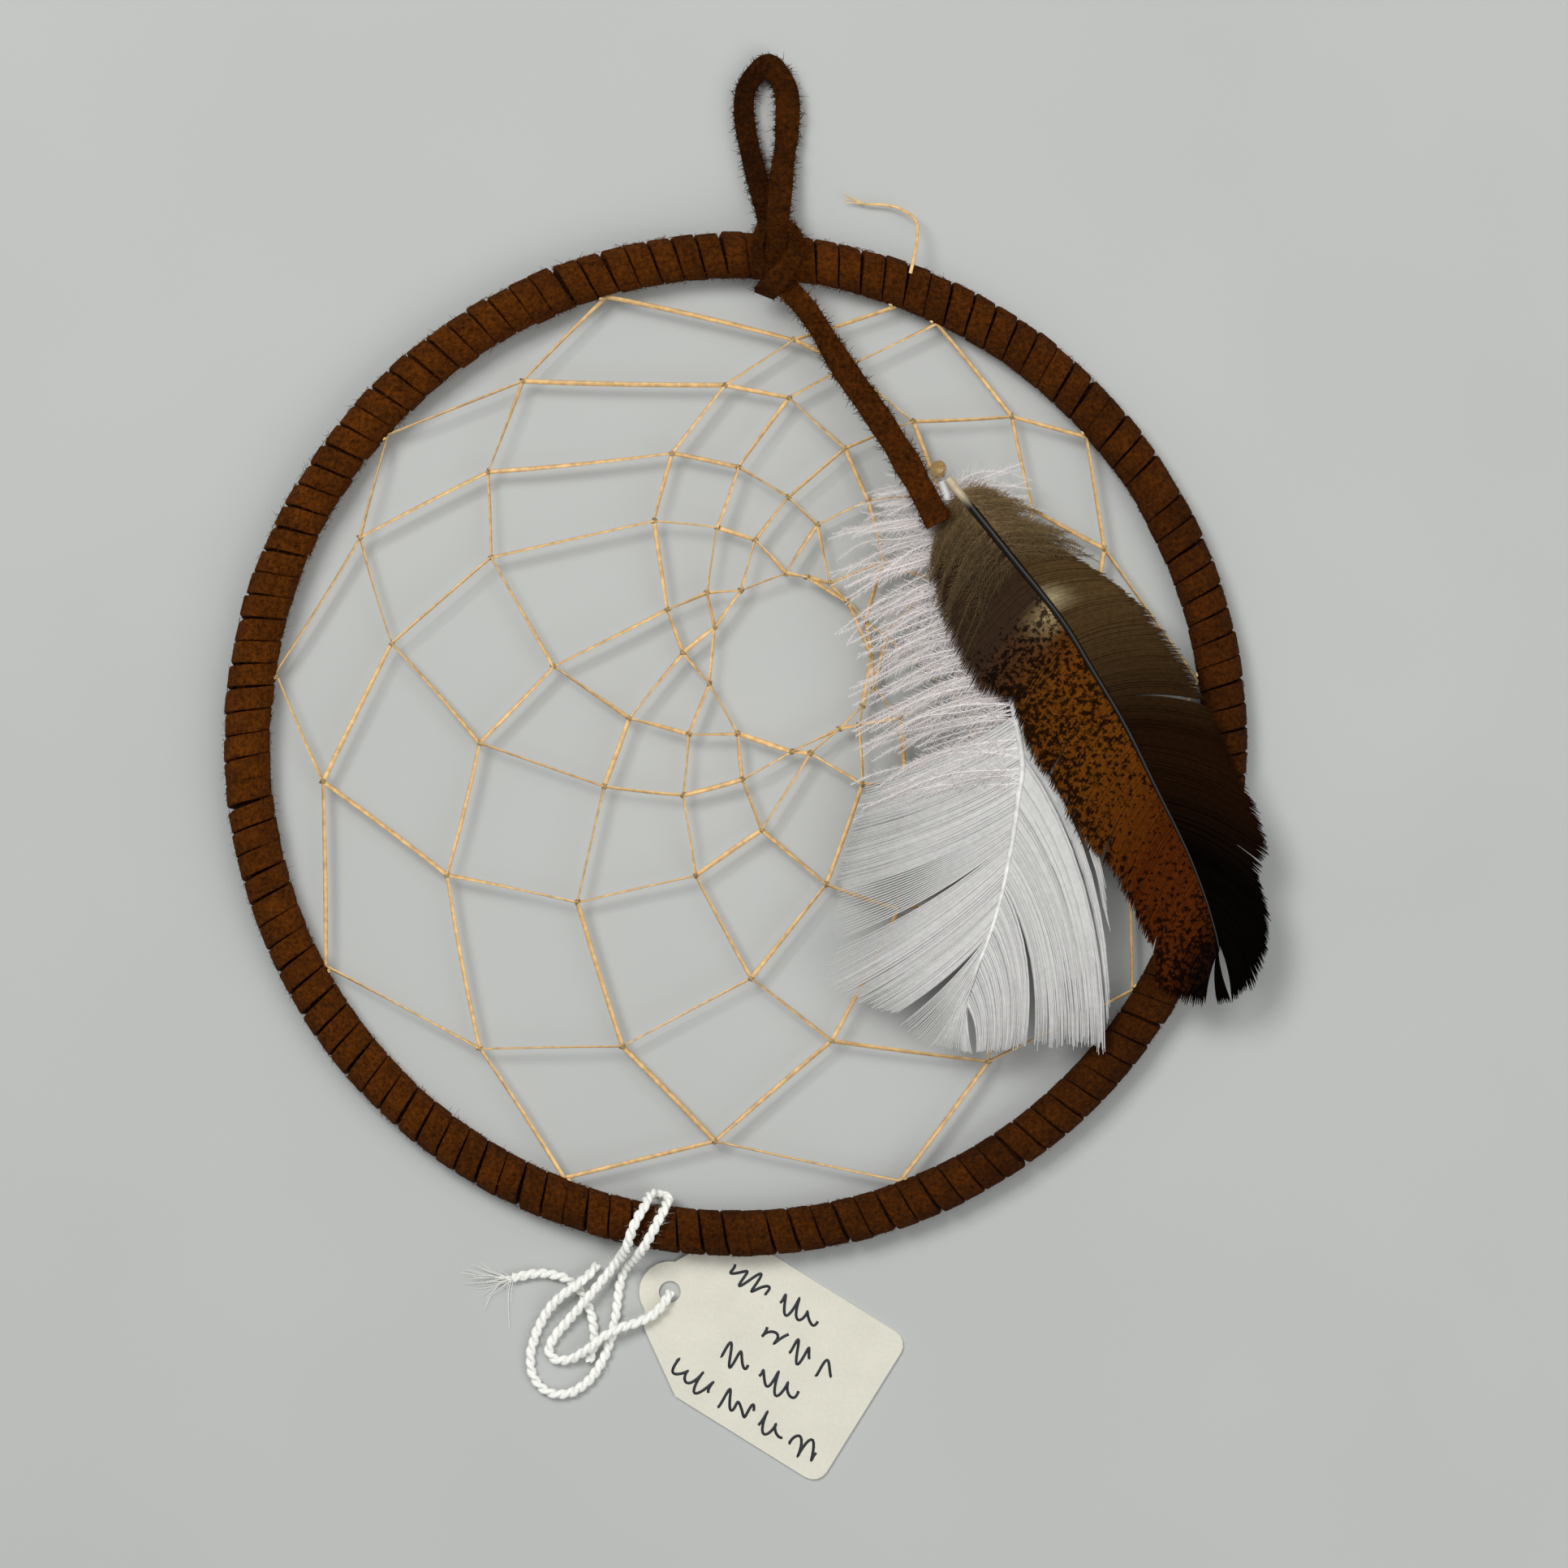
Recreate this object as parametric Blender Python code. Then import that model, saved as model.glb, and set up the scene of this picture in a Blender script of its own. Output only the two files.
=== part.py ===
"""Small souvenir dream catcher lying face up: a wound hoop, a sinew web, a loop, two feathers and a tag.

Metres, +Z up. Z = 0 is the surface that it lies on, the loop points along +Y, and the origin is under the
middle of the whole piece without its tag. Routes and outlines are in millimetres from the hoop's centre.
"""

import math

import bmesh
import bpy
from mathutils import Vector

MM = 0.001

# The hoop: a steel ring wound with flat suede lace, which hides it.
HOOP_OFFSET = Vector((-0.00105, -0.01142, 0.0))  # the hoop's centre, seen from the origin
RING_RADIUS = 0.0620
WIRE_RADIUS = 0.0014
SLEEVE_INNER = 0.0018
SLEEVE_OUTER = 0.0029
SLEEVE_SIDES = 12
RING_STEPS = 60
TUBE_HEIGHT = SLEEVE_OUTER * math.cos(math.pi / SLEEVE_SIDES)  # its lowest facet rests on the surface
GAP = 0.0003

# The flat suede lace of the hanging loop, its knot and the pendant.
LACE_WIDTH = 0.0033
LACE_THICKNESS = 0.0011
KNOT_ANGLE = math.radians(85.2)

# The web: one sinew thread, hitched round by round until it closes round the eye.
THREAD_THICKNESS = 0.0005
THREADS_PER_ROUND = 11
HOOP_HITCH_RADIUS = 0.0585
HITCH_ARC = (math.radians(-42), math.radians(222))

# The feathers lie above the hoop, the white one lowest.
VANE_THICKNESS = 0.0004
WHITE_LEVEL = 0.00715
BROWN_LEVEL = 0.00855
QUILL_LIFT = 0.00015
QUILL_CLEARANCE = 0.0003

# The tag, a card on a cotton string.
TAG_THICKNESS = 0.00045
TAG_LENGTH_AXIS = math.radians(-31.9)
TAG_HOLE_RADIUS = 0.0014
TAG_TAB_RADIUS = 0.0039
TAG_CORNER = 0.0020
TAG_HALF_WIDTH = 0.0109
TAG_REACH = 0.0290  # from the hole to the far edge
TAG_SHOULDER = 0.0076  # from the hole to where the full width starts
TAG_TAB_ARC = (math.radians(112), math.radians(136))  # where the round tab starts, and how far it turns
STRING_RADIUS = 0.00065

# Hinge points, in millimetres from the hoop's centre.
LOOP_HINGE = (4.5, 67.8, 2.5)
PENDANT_HINGE = (7.2, 56.6, 6.9)
FEATHER_HINGE = (25.5, 34.5, 8.1)
TAG_HOLE = (-8.4, -69.5, 0.0)
STRING_ANGLE = math.radians(-101.2)

# The web thread's route, a hitch at each point, one round to a row. The first round is hitched to the hoop.
WEB_ROUTE = (
    ((20.0, 54.9), (-16.5, 56.9), (-44.6, 39.7), (-58.9, 9.3), (-51.4, -27.8), (-21.2, -53.4),
     (20.6, -54.8),
     (50.7, -31.5), (59.0, 8.2), (44.4, 39.0), (25.4, 53.4)),
    ((7.3, 51.2), (-27.0, 46.0), (-47.6, 26.2), (-52.3, -4.7), (-32.4, -38.5), (-2.7, -50.2), (31.9, -40.1),
     (49.6, -10.2), (46.6, 24.8), (34.9, 41.5), (14.2, 47.9)),
    ((-1.4, 45.5), (-31.4, 34.5), (-43.6, 12.8), (-36.6, -16.5), (-14.4, -38.2), (12.1, -37.5),
     (35.1, -19.1),
     (43.8, 6.9), (37.6, 29.7), (22.4, 40.9), (6.7, 43.9)),
    ((-8.1, 36.9), (-31.0, 23.7), (-32.5, 0.2), (-20.1, -20.0), (1.9, -29.6), (20.6, -20.8), (33.6, -4.6),
     (34.6, 15.6), (25.9, 31.8), (13.8, 37.5), (0.3, 35.1)),
    ((-10.4, 28.3), (-23.1, 9.9), (-16.7, -5.3), (-5.1, -16.6), (11.4, -17.7), (21.3, -5.0), (26.9, 7.1),
     (24.9, 20.7), (16.7, 30.9), (6.6, 31.3), (-2.4, 27.5)),
    ((-8.7, 17.1), (-13.5, 3.3), (-6.7, -6.4), (3.2, -10.8), (16.0, -5.0), (20.9, 3.4), (19.0, 13.7),
     (18.6, 23.2), (10.3, 27.8), (2.4, 25.9), (-3.7, 19.2)),
    ((-6.7, 11.6), (-6.0, 1.3), (0.8, -4.4), (9.4, -1.1), (15.6, 2.5), (17.4, 7.3), (16.4, 15.6),
     (11.9, 20.4),
     (6.3, 21.7), (0.6, 19.5), (-2.7, 14.9)),
    ((-3.4, 7.7), (0.2, 1.4), (7.0, -0.9), (13.1, 2.0), (16.0, 4.9), (17.1, 11.2), (14.1, 18.1),
     (9.0, 21.2)),
)
TAIL_ROUTE = ((22.6, 61.9, 6.6), (23.2, 64.4, 5.2), (22.7, 66.2, 3.4), (21.3, 67.6, 2.2),
              (19.2, 68.4, 1.4), (16.3, 68.6, 1.0))

# The suede laces.
LOOP_ROUTE = ((3.5, 67.0, 2.5), (3.2, 69.5, 2.3), (2.4, 72.5, 2.0), (1.5, 76.5, 1.7), (1.1, 80.0, 1.5),
              (1.4, 83.0, 1.4),
              (2.4, 85.3, 1.3), (3.9, 86.2, 1.3), (5.3, 86.2, 1.3), (6.5, 84.6, 1.4), (6.9, 82.0, 1.5),
              (6.8, 79.0, 1.6),
              (6.5, 76.0, 1.8), (5.9, 72.5, 2.0), (5.6, 69.5, 2.3), (5.5, 67.0, 2.5))
LOOP_WIDTHS = (1.6, 1.6, 1.8, 2.1, 2.4, 2.5, 2.5, 2.5, 2.5, 2.6, 2.7, 2.6, 2.1, 1.8, 1.6, 1.6)
LOOP_THICKNESS = 0.0018
PENDANT_ROUTE = ((7.6, 56.2, 6.9), (9.7, 53.6, 7.1), (13.5, 47.4, 7.6), (17.9, 41.0, 8.3),
                 (21.6, 35.0, 9.2), (25.7, 27.3, 9.9))
CROSS_STRAP_ROUTE = ((2.4, 57.4, 6.6), (4.0, 58.7, 7.8), (5.6, 60.5, 8.1), (7.2, 62.2, 7.8),
                     (8.6, 63.6, 6.9))
BAND_ARC = (math.radians(-34), math.radians(214))

# The feathers: each quill's route, and each vane's and tuft of down's outer edge, from root to tip.
WHITE_QUILL = ((26.0, 33.1), (29.0, 22.2), (33.1, 12.0), (35.9, -0.9), (35.5, -6.8), (34.6, -13.1),
               (33.1, -20.1),
               (31.4, -25.5), (29.5, -30.2), (28.9, -34.9))
WHITE_QUILL_RADII = (0.55, 0.22)
WHITE_PARTS = {
    "white_down_left": (-1, 0.06, 0.46,
                        ((23.0, 30.0), (18.5, 26.5), (15.8, 20.0), (14.6, 12.0), (15.0, 3.5),
                         (17.5, -3.5), (25.0, -3.5))),
    "white_down_right": (1, 0.10, 0.40, ((31.5, 26.0), (37.0, 20.0), (41.0, 10.0), (42.0, 2.5))),
    "white_vane_left": (-1, 0.50, 0.97,
                        ((21.0, -6.0), (16.6, -17.5), (12.9, -30.2), (18.6, -33.4), (22.0, -35.8),
                         (28.2, -38.5))),
    "white_vane_right": (1, 0.42, 0.97,
                         ((42.6, 0.5), (44.0, -8.0), (44.9, -15.4), (46.7, -23.2), (47.1, -34.5),
                          (46.0, -38.5), (36.5, -37.8), (30.0, -38.2))),
}
BROWN_QUILL = ((26.6, 33.3), (29.6, 29.7), (34.6, 23.5), (40.8, 15.7), (44.7, 9.4), (48.9, 2.3),
               (52.6, -5.2), (56.5, -13.1),
               (58.8, -18.9), (60.1, -23.2), (60.7, -25.8))
BROWN_QUILL_RADII = (0.65, 0.28)
BROWN_PARTS = {
    "brown_down_left": (-1, 0.08, 0.30,
                        ((26.2, 27.5), (25.4, 21.5), (26.6, 15.5), (29.8, 8.0), (33.5, 8.6))),
    "brown_down_right": (1, 0.08, 0.28, ((31.5, 31.5), (37.0, 29.0), (42.8, 25.3), (44.6, 21.9))),
    "brown_vane_left": (-1, 0.335, 0.98,
                        ((34.4, 6.4), (35.6, 1.5), (37.0, -0.9), (40.4, -5.2), (43.2, -11.8),
                         (45.2, -10.2), (47.1, -15.4), (50.3, -21.6),
                                         (52.6, -25.6), (52.4, -30.0), (58.6, -32.4))),
    "brown_vane_right": (1, 0.30, 0.98,
                         ((45.6, 21.0), (51.1, 17.2), (56.5, 10.2), (59.5, 6.1), (61.2, 1.1),
                          (63.5, -2.8), (66.3, -11.0), (65.8, -15.5),
                                        (64.2, -17.6), (66.2, -18.9), (67.0, -22.0), (66.0, -28.0),
                          (63.5, -31.9), (60.0, -32.5))),
}

# The tag string, from the tag's hole to the hoop and back, and its loose frayed end.
STRING_ROUTE = (
    (-8.4, -69.5, 0.8), (-8.7, -70.0, 1.25), (-9.5, -71.3, 1.5), (-11.4, -72.8, 1.6),
                (-15.2, -74.1, 2.1), (-17.2, -75.3, 2.1),
    (-18.8, -76.6, 2.0), (-20.8, -77.9, 1.0), (-22.8, -78.1, 0.7), (-23.8, -76.8, 0.7),
                (-22.8, -74.8, 0.7), (-20.9, -72.6, 1.2),
    (-18.8, -70.1, 2.1), (-17.1, -68.0, 2.1), (-15.7, -66.3, 2.4), (-14.6, -64.7, 3.7),
                (-13.8, -63.4, 5.9), (-12.9, -60.7, 7.0),
    (-11.5, -58.1, 5.9), (-10.8, -56.9, 3.6), (-9.9, -57.0, 1.9), (-8.6, -57.3, 3.6),
                (-9.0, -58.4, 5.8), (-10.1, -60.6, 7.0), (-11.6, -63.4, 6.2),
    (-12.9, -65.0, 3.5), (-14.1, -66.6, 1.0), (-14.8, -68.6, 0.7), (-15.1, -71.0, 0.7),
                (-15.5, -73.7, 0.7), (-16.3, -76.6, 0.7),
    (-17.8, -79.6, 0.7), (-19.9, -81.7, 0.7), (-22.3, -82.5, 0.7), (-24.5, -81.8, 0.7),
                (-25.9, -79.8, 0.7), (-26.1, -77.4, 0.7),
    (-25.5, -75.0, 0.7), (-24.5, -72.8, 0.8), (-23.0, -70.7, 1.5), (-21.0, -69.0, 2.1),
                (-19.0, -67.5, 1.6), (-17.6, -66.0, 0.8),
)
STRING_END_ROUTE = ((-28.4, -67.7, 0.7), (-25.0, -67.1, 0.7), (-21.8, -67.7, 0.7), (-19.7, -69.5, 0.7),
                    (-18.4, -72.4, 0.7), (-18.0, -75.6, 0.7), (-18.7, -78.3, 0.7))


def clear_scene():
    for existing in list(bpy.data.objects):
        bpy.data.objects.remove(existing, do_unlink=True)


def at(point, height=0.0):
    """A point in metres from one in millimetres, with the height given when the point has none."""
    if len(point) == 3:
        return Vector(point) * MM
    return Vector((point[0] * MM, point[1] * MM, height))


def material(name, colour, roughness, metallic=0.0):
    made = bpy.data.materials.new(name)
    made.use_nodes = True
    shader = made.node_tree.nodes["Principled BSDF"]
    shader.inputs["Base Color"].default_value = (*colour, 1.0)
    shader.inputs["Roughness"].default_value = roughness
    shader.inputs["Metallic"].default_value = metallic
    return made


def pivot(name, place, parent=None):
    """An empty at a hinge, in the hoop's coordinates, that the moving pieces hang from."""
    empty = bpy.data.objects.new(name, None)
    empty.empty_display_size = 0.004
    empty["place"] = tuple(place)
    empty.location = place - Vector(parent["place"]) if parent else place
    empty.parent = parent
    bpy.context.scene.collection.objects.link(empty)
    return empty


def place(obj, finish, parent):
    """Links an object whose data is in the hoop's coordinates, under its body's pivot."""
    bpy.context.scene.collection.objects.link(obj)
    obj.data.materials.append(finish)
    obj.parent = parent
    obj.location = -Vector(parent["place"])
    return obj


def mesh_object(name, bm, finish, parent):
    bmesh.ops.recalc_face_normals(bm, faces=bm.faces)
    mesh = bpy.data.meshes.new(name)
    bm.to_mesh(mesh)
    bm.free()
    mesh.shade_smooth()
    mesh.set_sharp_from_angle(angle=math.radians(40))
    return place(bpy.data.objects.new(name, mesh), finish, parent)


def through(points, count):
    """Evenly numbered points on one smooth curve through the given ones."""
    ends = [points[0] * 2 - points[1], *points, points[-1] * 2 - points[-2]]
    spans = len(points) - 1
    curve = []
    for step in range(count):
        where = step / (count - 1) * spans
        span = min(int(where), spans - 1)
        t = where - span
        a, b, c, d = ends[span : span + 4]
        bend = (2 * a - 5 * b + 4 * c - d) * t**2
        curve.append(0.5 * (2 * b + (c - a) * t + bend + (3 * b - 3 * c + d - a) * t**3))
    return curve


def loft(bm, rings, closed=False):
    """Skins a row of rings of vertices, and caps its two ends unless the row closes on itself."""
    made = [[bm.verts.new(point) for point in ring] for ring in rings]
    following = made[1:] + made[:1] if closed else made[1:]
    for low, high in zip(made, following):
        for i in range(len(low)):
            bm.faces.new((low[i - 1], low[i], high[i], high[i - 1]))
    if not closed:
        bm.faces.new(made[0])
        bm.faces.new(made[-1])


def tube_ring(angle, radius, sides):
    """A ring of points round the hoop's own tube, at one angle of the hoop."""
    outward = Vector((math.cos(angle), math.sin(angle), 0))
    middle = outward * RING_RADIUS + Vector((0, 0, TUBE_HEIGHT))
    turns = [math.tau * (i + 0.5) / sides for i in range(sides)]
    return [middle + radius * (math.cos(t) * outward + math.sin(t) * Vector((0, 0, 1))) for t in turns]


def arc_point(angle, radius, turn, across=0.0):
    """A point beside the hoop's tube: turn 0 is outside it, a quarter turn on top, half a turn inside."""
    outward = Vector((math.cos(angle), math.sin(angle), 0))
    along = Vector((-math.sin(angle), math.cos(angle), 0))
    middle = outward * RING_RADIUS + Vector((0, 0, TUBE_HEIGHT)) + along * across
    return middle + radius * (math.cos(turn) * outward + math.sin(turn) * Vector((0, 0, 1)))


def strap(name, route, widths, thickness, steps, finish, parent):
    """A flat lace along a route, its width level and its thickness upright."""
    middle = through([at(p) for p in route], steps)
    wide = through([Vector((w * MM, 0, 0)) for w in widths], steps)
    bm = bmesh.new()
    rings = []
    for i, point in enumerate(middle):
        run = middle[min(i + 1, steps - 1)] - middle[max(i - 1, 0)]
        side = Vector((run.y, -run.x, 0)).normalized() * wide[i].x / 2
        up = Vector((0, 0, thickness / 2))
        rings.append([point + side + up, point - side + up, point - side - up, point + side - up])
    loft(bm, rings)
    return mesh_object(name, bm, finish, parent)


def cord(name, route, radius, steps, finish, parent, tip=1.0):
    """A round cord or quill: a curve with a bevel and filled caps, thinning to its tip."""
    curve = bpy.data.curves.new(name, "CURVE")
    curve.dimensions = "3D"
    curve.bevel_depth = radius
    curve.bevel_resolution = 2
    curve.use_fill_caps = True
    spline = curve.splines.new("POLY")
    points = through(route, steps)
    spline.points.add(len(points) - 1)
    for i, (knot, point) in enumerate(zip(spline.points, points)):
        knot.co = (*point, 1)
        knot.radius = 1 + (tip - 1) * i / (len(points) - 1)
    return place(bpy.data.objects.new(name, curve), finish, parent)


def plate(name, outline, low, thickness, finish, parent):
    """A thin flat piece: an outline filled with one face and extruded upwards."""
    bm = bmesh.new()
    face = bm.faces.new([bm.verts.new((p.x, p.y, low)) for p in outline])
    raised = bmesh.ops.extrude_face_region(bm, geom=[face])
    bmesh.ops.translate(bm, vec=(0, 0, thickness),
                        verts=[v for v in raised["geom"] if isinstance(v, bmesh.types.BMVert)])
    bmesh.ops.triangulate(bm, faces=[f for f in bm.faces if len(f.verts) > 4])
    return mesh_object(name, bm, finish, parent)


# The hoop.


def ring_core(steel, parent):
    bm = bmesh.new()
    angles = [math.tau * i / RING_STEPS for i in range(RING_STEPS)]
    loft(bm, [tube_ring(a, WIRE_RADIUS, 8) for a in angles], closed=True)
    return mesh_object("ring_core", bm, steel, parent)


def hoop_wrap(suede, parent):
    """The wound lace as one sleeve, open at a seam under the knot, where its two ends are tied."""
    seam = math.radians(2)
    bm = bmesh.new()
    angles = [KNOT_ANGLE + seam / 2 + (math.tau - seam) * i / (RING_STEPS - 1) for i in range(RING_STEPS)]
    walls = []
    for radius in (SLEEVE_OUTER, SLEEVE_INNER):
        made = [[bm.verts.new(p) for p in tube_ring(a, radius, SLEEVE_SIDES)] for a in angles]
        for low, high in zip(made, made[1:]):
            for i in range(SLEEVE_SIDES):
                bm.faces.new((low[i - 1], low[i], high[i], high[i - 1]))
        walls.append(made)
    outer, inner = walls
    for end in (0, -1):
        for i in range(SLEEVE_SIDES):
            bm.faces.new((outer[end][i - 1], outer[end][i], inner[end][i], inner[end][i - 1]))
    return mesh_object("hoop_wrap", bm, suede, parent)


# The web.


def hitch_arc(bm, angle):
    """A thread over the hoop's tube, from its inner side to its outer side."""
    radius = SLEEVE_OUTER + GAP + THREAD_THICKNESS / 2
    low, high = HITCH_ARC
    steps = 14
    rings = []
    for i in range(steps):
        turn = low + (high - low) * i / (steps - 1)
        ring = []
        for corner in range(6):
            swing = math.tau * corner / 6
            reach = radius + THREAD_THICKNESS / 2 * math.cos(swing)
            ring.append(arc_point(angle, reach, turn, THREAD_THICKNESS / 2 * math.sin(swing)))
        rings.append(ring)
    loft(bm, rings)


def web_points():
    points = [at(p, TUBE_HEIGHT) for one_round in WEB_ROUTE for p in one_round]
    for k in range(THREADS_PER_ROUND):
        flat = points[k].xy.normalized() * HOOP_HITCH_RADIUS
        points[k] = Vector((flat.x, flat.y, TUBE_HEIGHT))
    return points


def web_thread(sinew, parent):
    """Each hitch sits on the span two places back, so the cells between the threads are four-sided."""
    points = web_points()
    bm = bmesh.new()
    verts = [bm.verts.new(p) for p in points]
    inner = len(points) - THREADS_PER_ROUND
    for j in range(inner):
        cell = [j, j + THREADS_PER_ROUND - 1, j + 2 * THREADS_PER_ROUND - 1, j + THREADS_PER_ROUND]
        bm.faces.new([verts[k] for k in cell if k < len(points)])
    web = mesh_object("web_thread", bm, sinew, parent)
    wire = web.modifiers.new("thread", "WIREFRAME")
    wire.thickness = THREAD_THICKNESS
    wire.use_even_offset = True
    wire.use_boundary = True
    wire.use_replace = True
    hitches = bmesh.new()
    for point in points[1:THREADS_PER_ROUND]:
        hitch_arc(hitches, math.atan2(point.y, point.x))
    helper = mesh_object("hoop_hitches", hitches, sinew, parent)
    helper.hide_render = True
    helper.display_type = "WIRE"
    join = web.modifiers.new("hitches", "BOOLEAN")
    join.operation = "UNION"
    join.object = helper
    return web


def thread_tail(sinew, parent):
    """The thread's loose starting end, outside the hoop."""
    return cord("thread_tail", [at(p) for p in TAIL_ROUTE], 0.0003, 16, sinew, parent)


# The laces.


def knot_band(suede, parent):
    """The hanging lace's turn over the hoop, which covers the wrap's seam."""
    low, high = BAND_ARC
    steps = 20
    bm = bmesh.new()
    rings = []
    for i in range(steps):
        turn = low + (high - low) * i / (steps - 1)
        ring = []
        for lift, across in ((0, -1), (0, 1), (1, 1), (1, -1)):
            reach = SLEEVE_OUTER + GAP + lift * LACE_THICKNESS
            ring.append(arc_point(KNOT_ANGLE, reach, turn, across * LACE_WIDTH / 2))
        rings.append(ring)
    loft(bm, rings)
    return mesh_object("knot_band", bm, suede, parent)


def feather_tie(glue, parent):
    """The bead of tied thread and glue that holds both quills to the lace."""
    bm = bmesh.new()
    bmesh.ops.create_uvsphere(bm, u_segments=12, v_segments=8, radius=0.0009)
    bmesh.ops.scale(bm, vec=(1, 1, 1.45), verts=bm.verts)
    bmesh.ops.translate(bm, vec=at(FEATHER_HINGE), verts=bm.verts)
    return mesh_object("feather_tie", bm, glue, parent)


# The feathers.


def feather(quill_name, route, radii, level, parts, finishes, parent):
    """A quill, and on each side of it the down and the vane, whose inner edges follow it."""
    root, tip = (r * MM for r in radii)
    height = level + VANE_THICKNESS / 2 + QUILL_LIFT
    spine = through([at(p, height) for p in route], 40)
    cord(quill_name, [at(p, height) for p in route], root, 28, finishes["quill"], parent, tip / root)
    for name, (side, start, end, outer) in parts.items():
        inner = []
        for i, point in enumerate(spine):
            share = i / (len(spine) - 1)
            if start <= share <= end:
                run = spine[min(i + 1, len(spine) - 1)] - spine[max(i - 1, 0)]
                beside = Vector((-run.y, run.x, 0)).normalized() * side
                inner.append(point + beside * (root + (tip - root) * share + QUILL_CLEARANCE))
        outline = inner + [at(p, height) for p in reversed(outer)]
        plate(name, outline, level, VANE_THICKNESS, finishes[name], parent)


# The tag.


def tag_card(card, parent):
    """A luggage-label outline, drawn along its own length, with round far corners and a round tab."""
    half, far = TAG_HALF_WIDTH, TAG_REACH
    outline = [Vector((TAG_SHOULDER, -half)), Vector((far - TAG_CORNER, -half))]
    for start, middle in ((-90, TAG_CORNER - half), (0, half - TAG_CORNER)):
        for i in range(5):
            turn = math.radians(start + 90 * i / 4)
            corner = Vector((far - TAG_CORNER, middle))
            outline.append(corner + TAG_CORNER * Vector((math.cos(turn), math.sin(turn))))
    del outline[2]
    outline += [Vector((TAG_SHOULDER, half)), Vector((-0.0004, 0.0056)), Vector((-0.0010, 0.0045))]
    first, sweep = TAG_TAB_ARC
    for i in range(9):
        turn = first + sweep * i / 8
        outline.append(TAG_TAB_RADIUS * Vector((math.cos(turn), math.sin(turn))))
    outline += [Vector((-0.0010, -0.0045)), Vector((-0.0004, -0.0056))]
    hole = at(TAG_HOLE)
    cos, sin = math.cos(TAG_LENGTH_AXIS), math.sin(TAG_LENGTH_AXIS)
    turned = [Vector((hole.x + p.x * cos - p.y * sin, hole.y + p.x * sin + p.y * cos, 0)) for p in outline]
    tag = plate("tag_card", turned, 0.0, TAG_THICKNESS, card, parent)
    bm = bmesh.new()
    bmesh.ops.create_cone(bm, cap_ends=True, segments=24, radius1=TAG_HOLE_RADIUS,
                          radius2=TAG_HOLE_RADIUS, depth=0.004)
    bmesh.ops.translate(bm, vec=hole, verts=bm.verts)
    punch = mesh_object("tag_punch", bm, card, parent)
    punch.hide_render = True
    punch.display_type = "WIRE"
    cut = tag.modifiers.new("hole", "BOOLEAN")
    cut.operation = "DIFFERENCE"
    cut.object = punch
    return tag


def main():
    clear_scene()
    steel = material("galvanised_wire", (0.45, 0.45, 0.46), 0.35, 1.0)
    suede = material("tan_suede", (0.14, 0.052, 0.012), 0.95)
    sinew = material("waxed_sinew", (0.60, 0.40, 0.16), 0.45)
    glue = material("amber_glue", (0.35, 0.18, 0.04), 0.25)
    white_quill = material("white_quill", (0.85, 0.85, 0.84), 0.35)
    white_barbs = material("white_barbs", (0.62, 0.62, 0.64), 0.7)
    white_down = material("white_down", (0.75, 0.74, 0.74), 0.9)
    dark_quill = material("dark_quill", (0.02, 0.012, 0.01), 0.25)
    tan_barbs = material("speckled_tan_barbs", (0.24, 0.10, 0.03), 0.7)
    dark_barbs = material("dark_brown_barbs", (0.035, 0.017, 0.01), 0.6)
    brown_down = material("grey_brown_down", (0.18, 0.12, 0.08), 0.9)
    card = material("cream_card", (0.80, 0.76, 0.66), 0.7)
    cotton = material("white_cotton", (0.75, 0.74, 0.71), 0.9)

    hoop = pivot("hoop_centre", Vector((0, 0, 0)))
    ring_core(steel, hoop)
    hoop_wrap(suede, hoop)
    web_thread(sinew, hoop)
    thread_tail(sinew, hoop)
    knot_band(suede, hoop)
    lace = LACE_WIDTH / MM
    strap("knot_cross_strap", CROSS_STRAP_ROUTE, [lace * 0.9] * 5, LACE_THICKNESS, 12, suede, hoop)

    loop_pivot = pivot("loop_hinge", at(LOOP_HINGE), hoop)
    strap("hanger_loop", LOOP_ROUTE, LOOP_WIDTHS, LOOP_THICKNESS, 31, suede, loop_pivot)

    pendant = pivot("pendant_hinge", at(PENDANT_HINGE), hoop)
    strap("pendant_lace", PENDANT_ROUTE, [lace] * 6, LACE_THICKNESS, 16, suede, pendant)
    feather_tie(glue, pendant)

    white_pivot = pivot("white_feather_hinge", at(FEATHER_HINGE), pendant)
    feather("white_quill", WHITE_QUILL, WHITE_QUILL_RADII, WHITE_LEVEL, WHITE_PARTS,
            {"quill": white_quill, "white_down_left": white_down, "white_down_right": white_down,
             "white_vane_left": white_barbs, "white_vane_right": white_barbs}, white_pivot)
    brown_pivot = pivot("brown_feather_hinge", at(FEATHER_HINGE), pendant)
    feather("brown_quill", BROWN_QUILL, BROWN_QUILL_RADII, BROWN_LEVEL, BROWN_PARTS,
            {"quill": dark_quill, "brown_down_left": brown_down, "brown_down_right": brown_down,
             "brown_vane_left": tan_barbs, "brown_vane_right": dark_barbs}, brown_pivot)

    string_point = Vector((math.cos(STRING_ANGLE), math.sin(STRING_ANGLE), 0)) * RING_RADIUS
    string_pivot = pivot("string_hinge", string_point + Vector((0, 0, TUBE_HEIGHT)), hoop)
    cord("tag_string", [at(p) for p in STRING_ROUTE], STRING_RADIUS, 80, cotton, string_pivot)
    cord("tag_string_end", [at(p) for p in STRING_END_ROUTE], STRING_RADIUS, 16, cotton, string_pivot)
    tag_pivot = pivot("tag_hinge", at(TAG_HOLE), string_pivot)
    tag_card(card, tag_pivot)
    hoop.location = HOOP_OFFSET


main()
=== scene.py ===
"""Looks of a small dream catcher: a wound hoop, a sinew web, knotted laces, two feathers and a tag."""

import math

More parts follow.
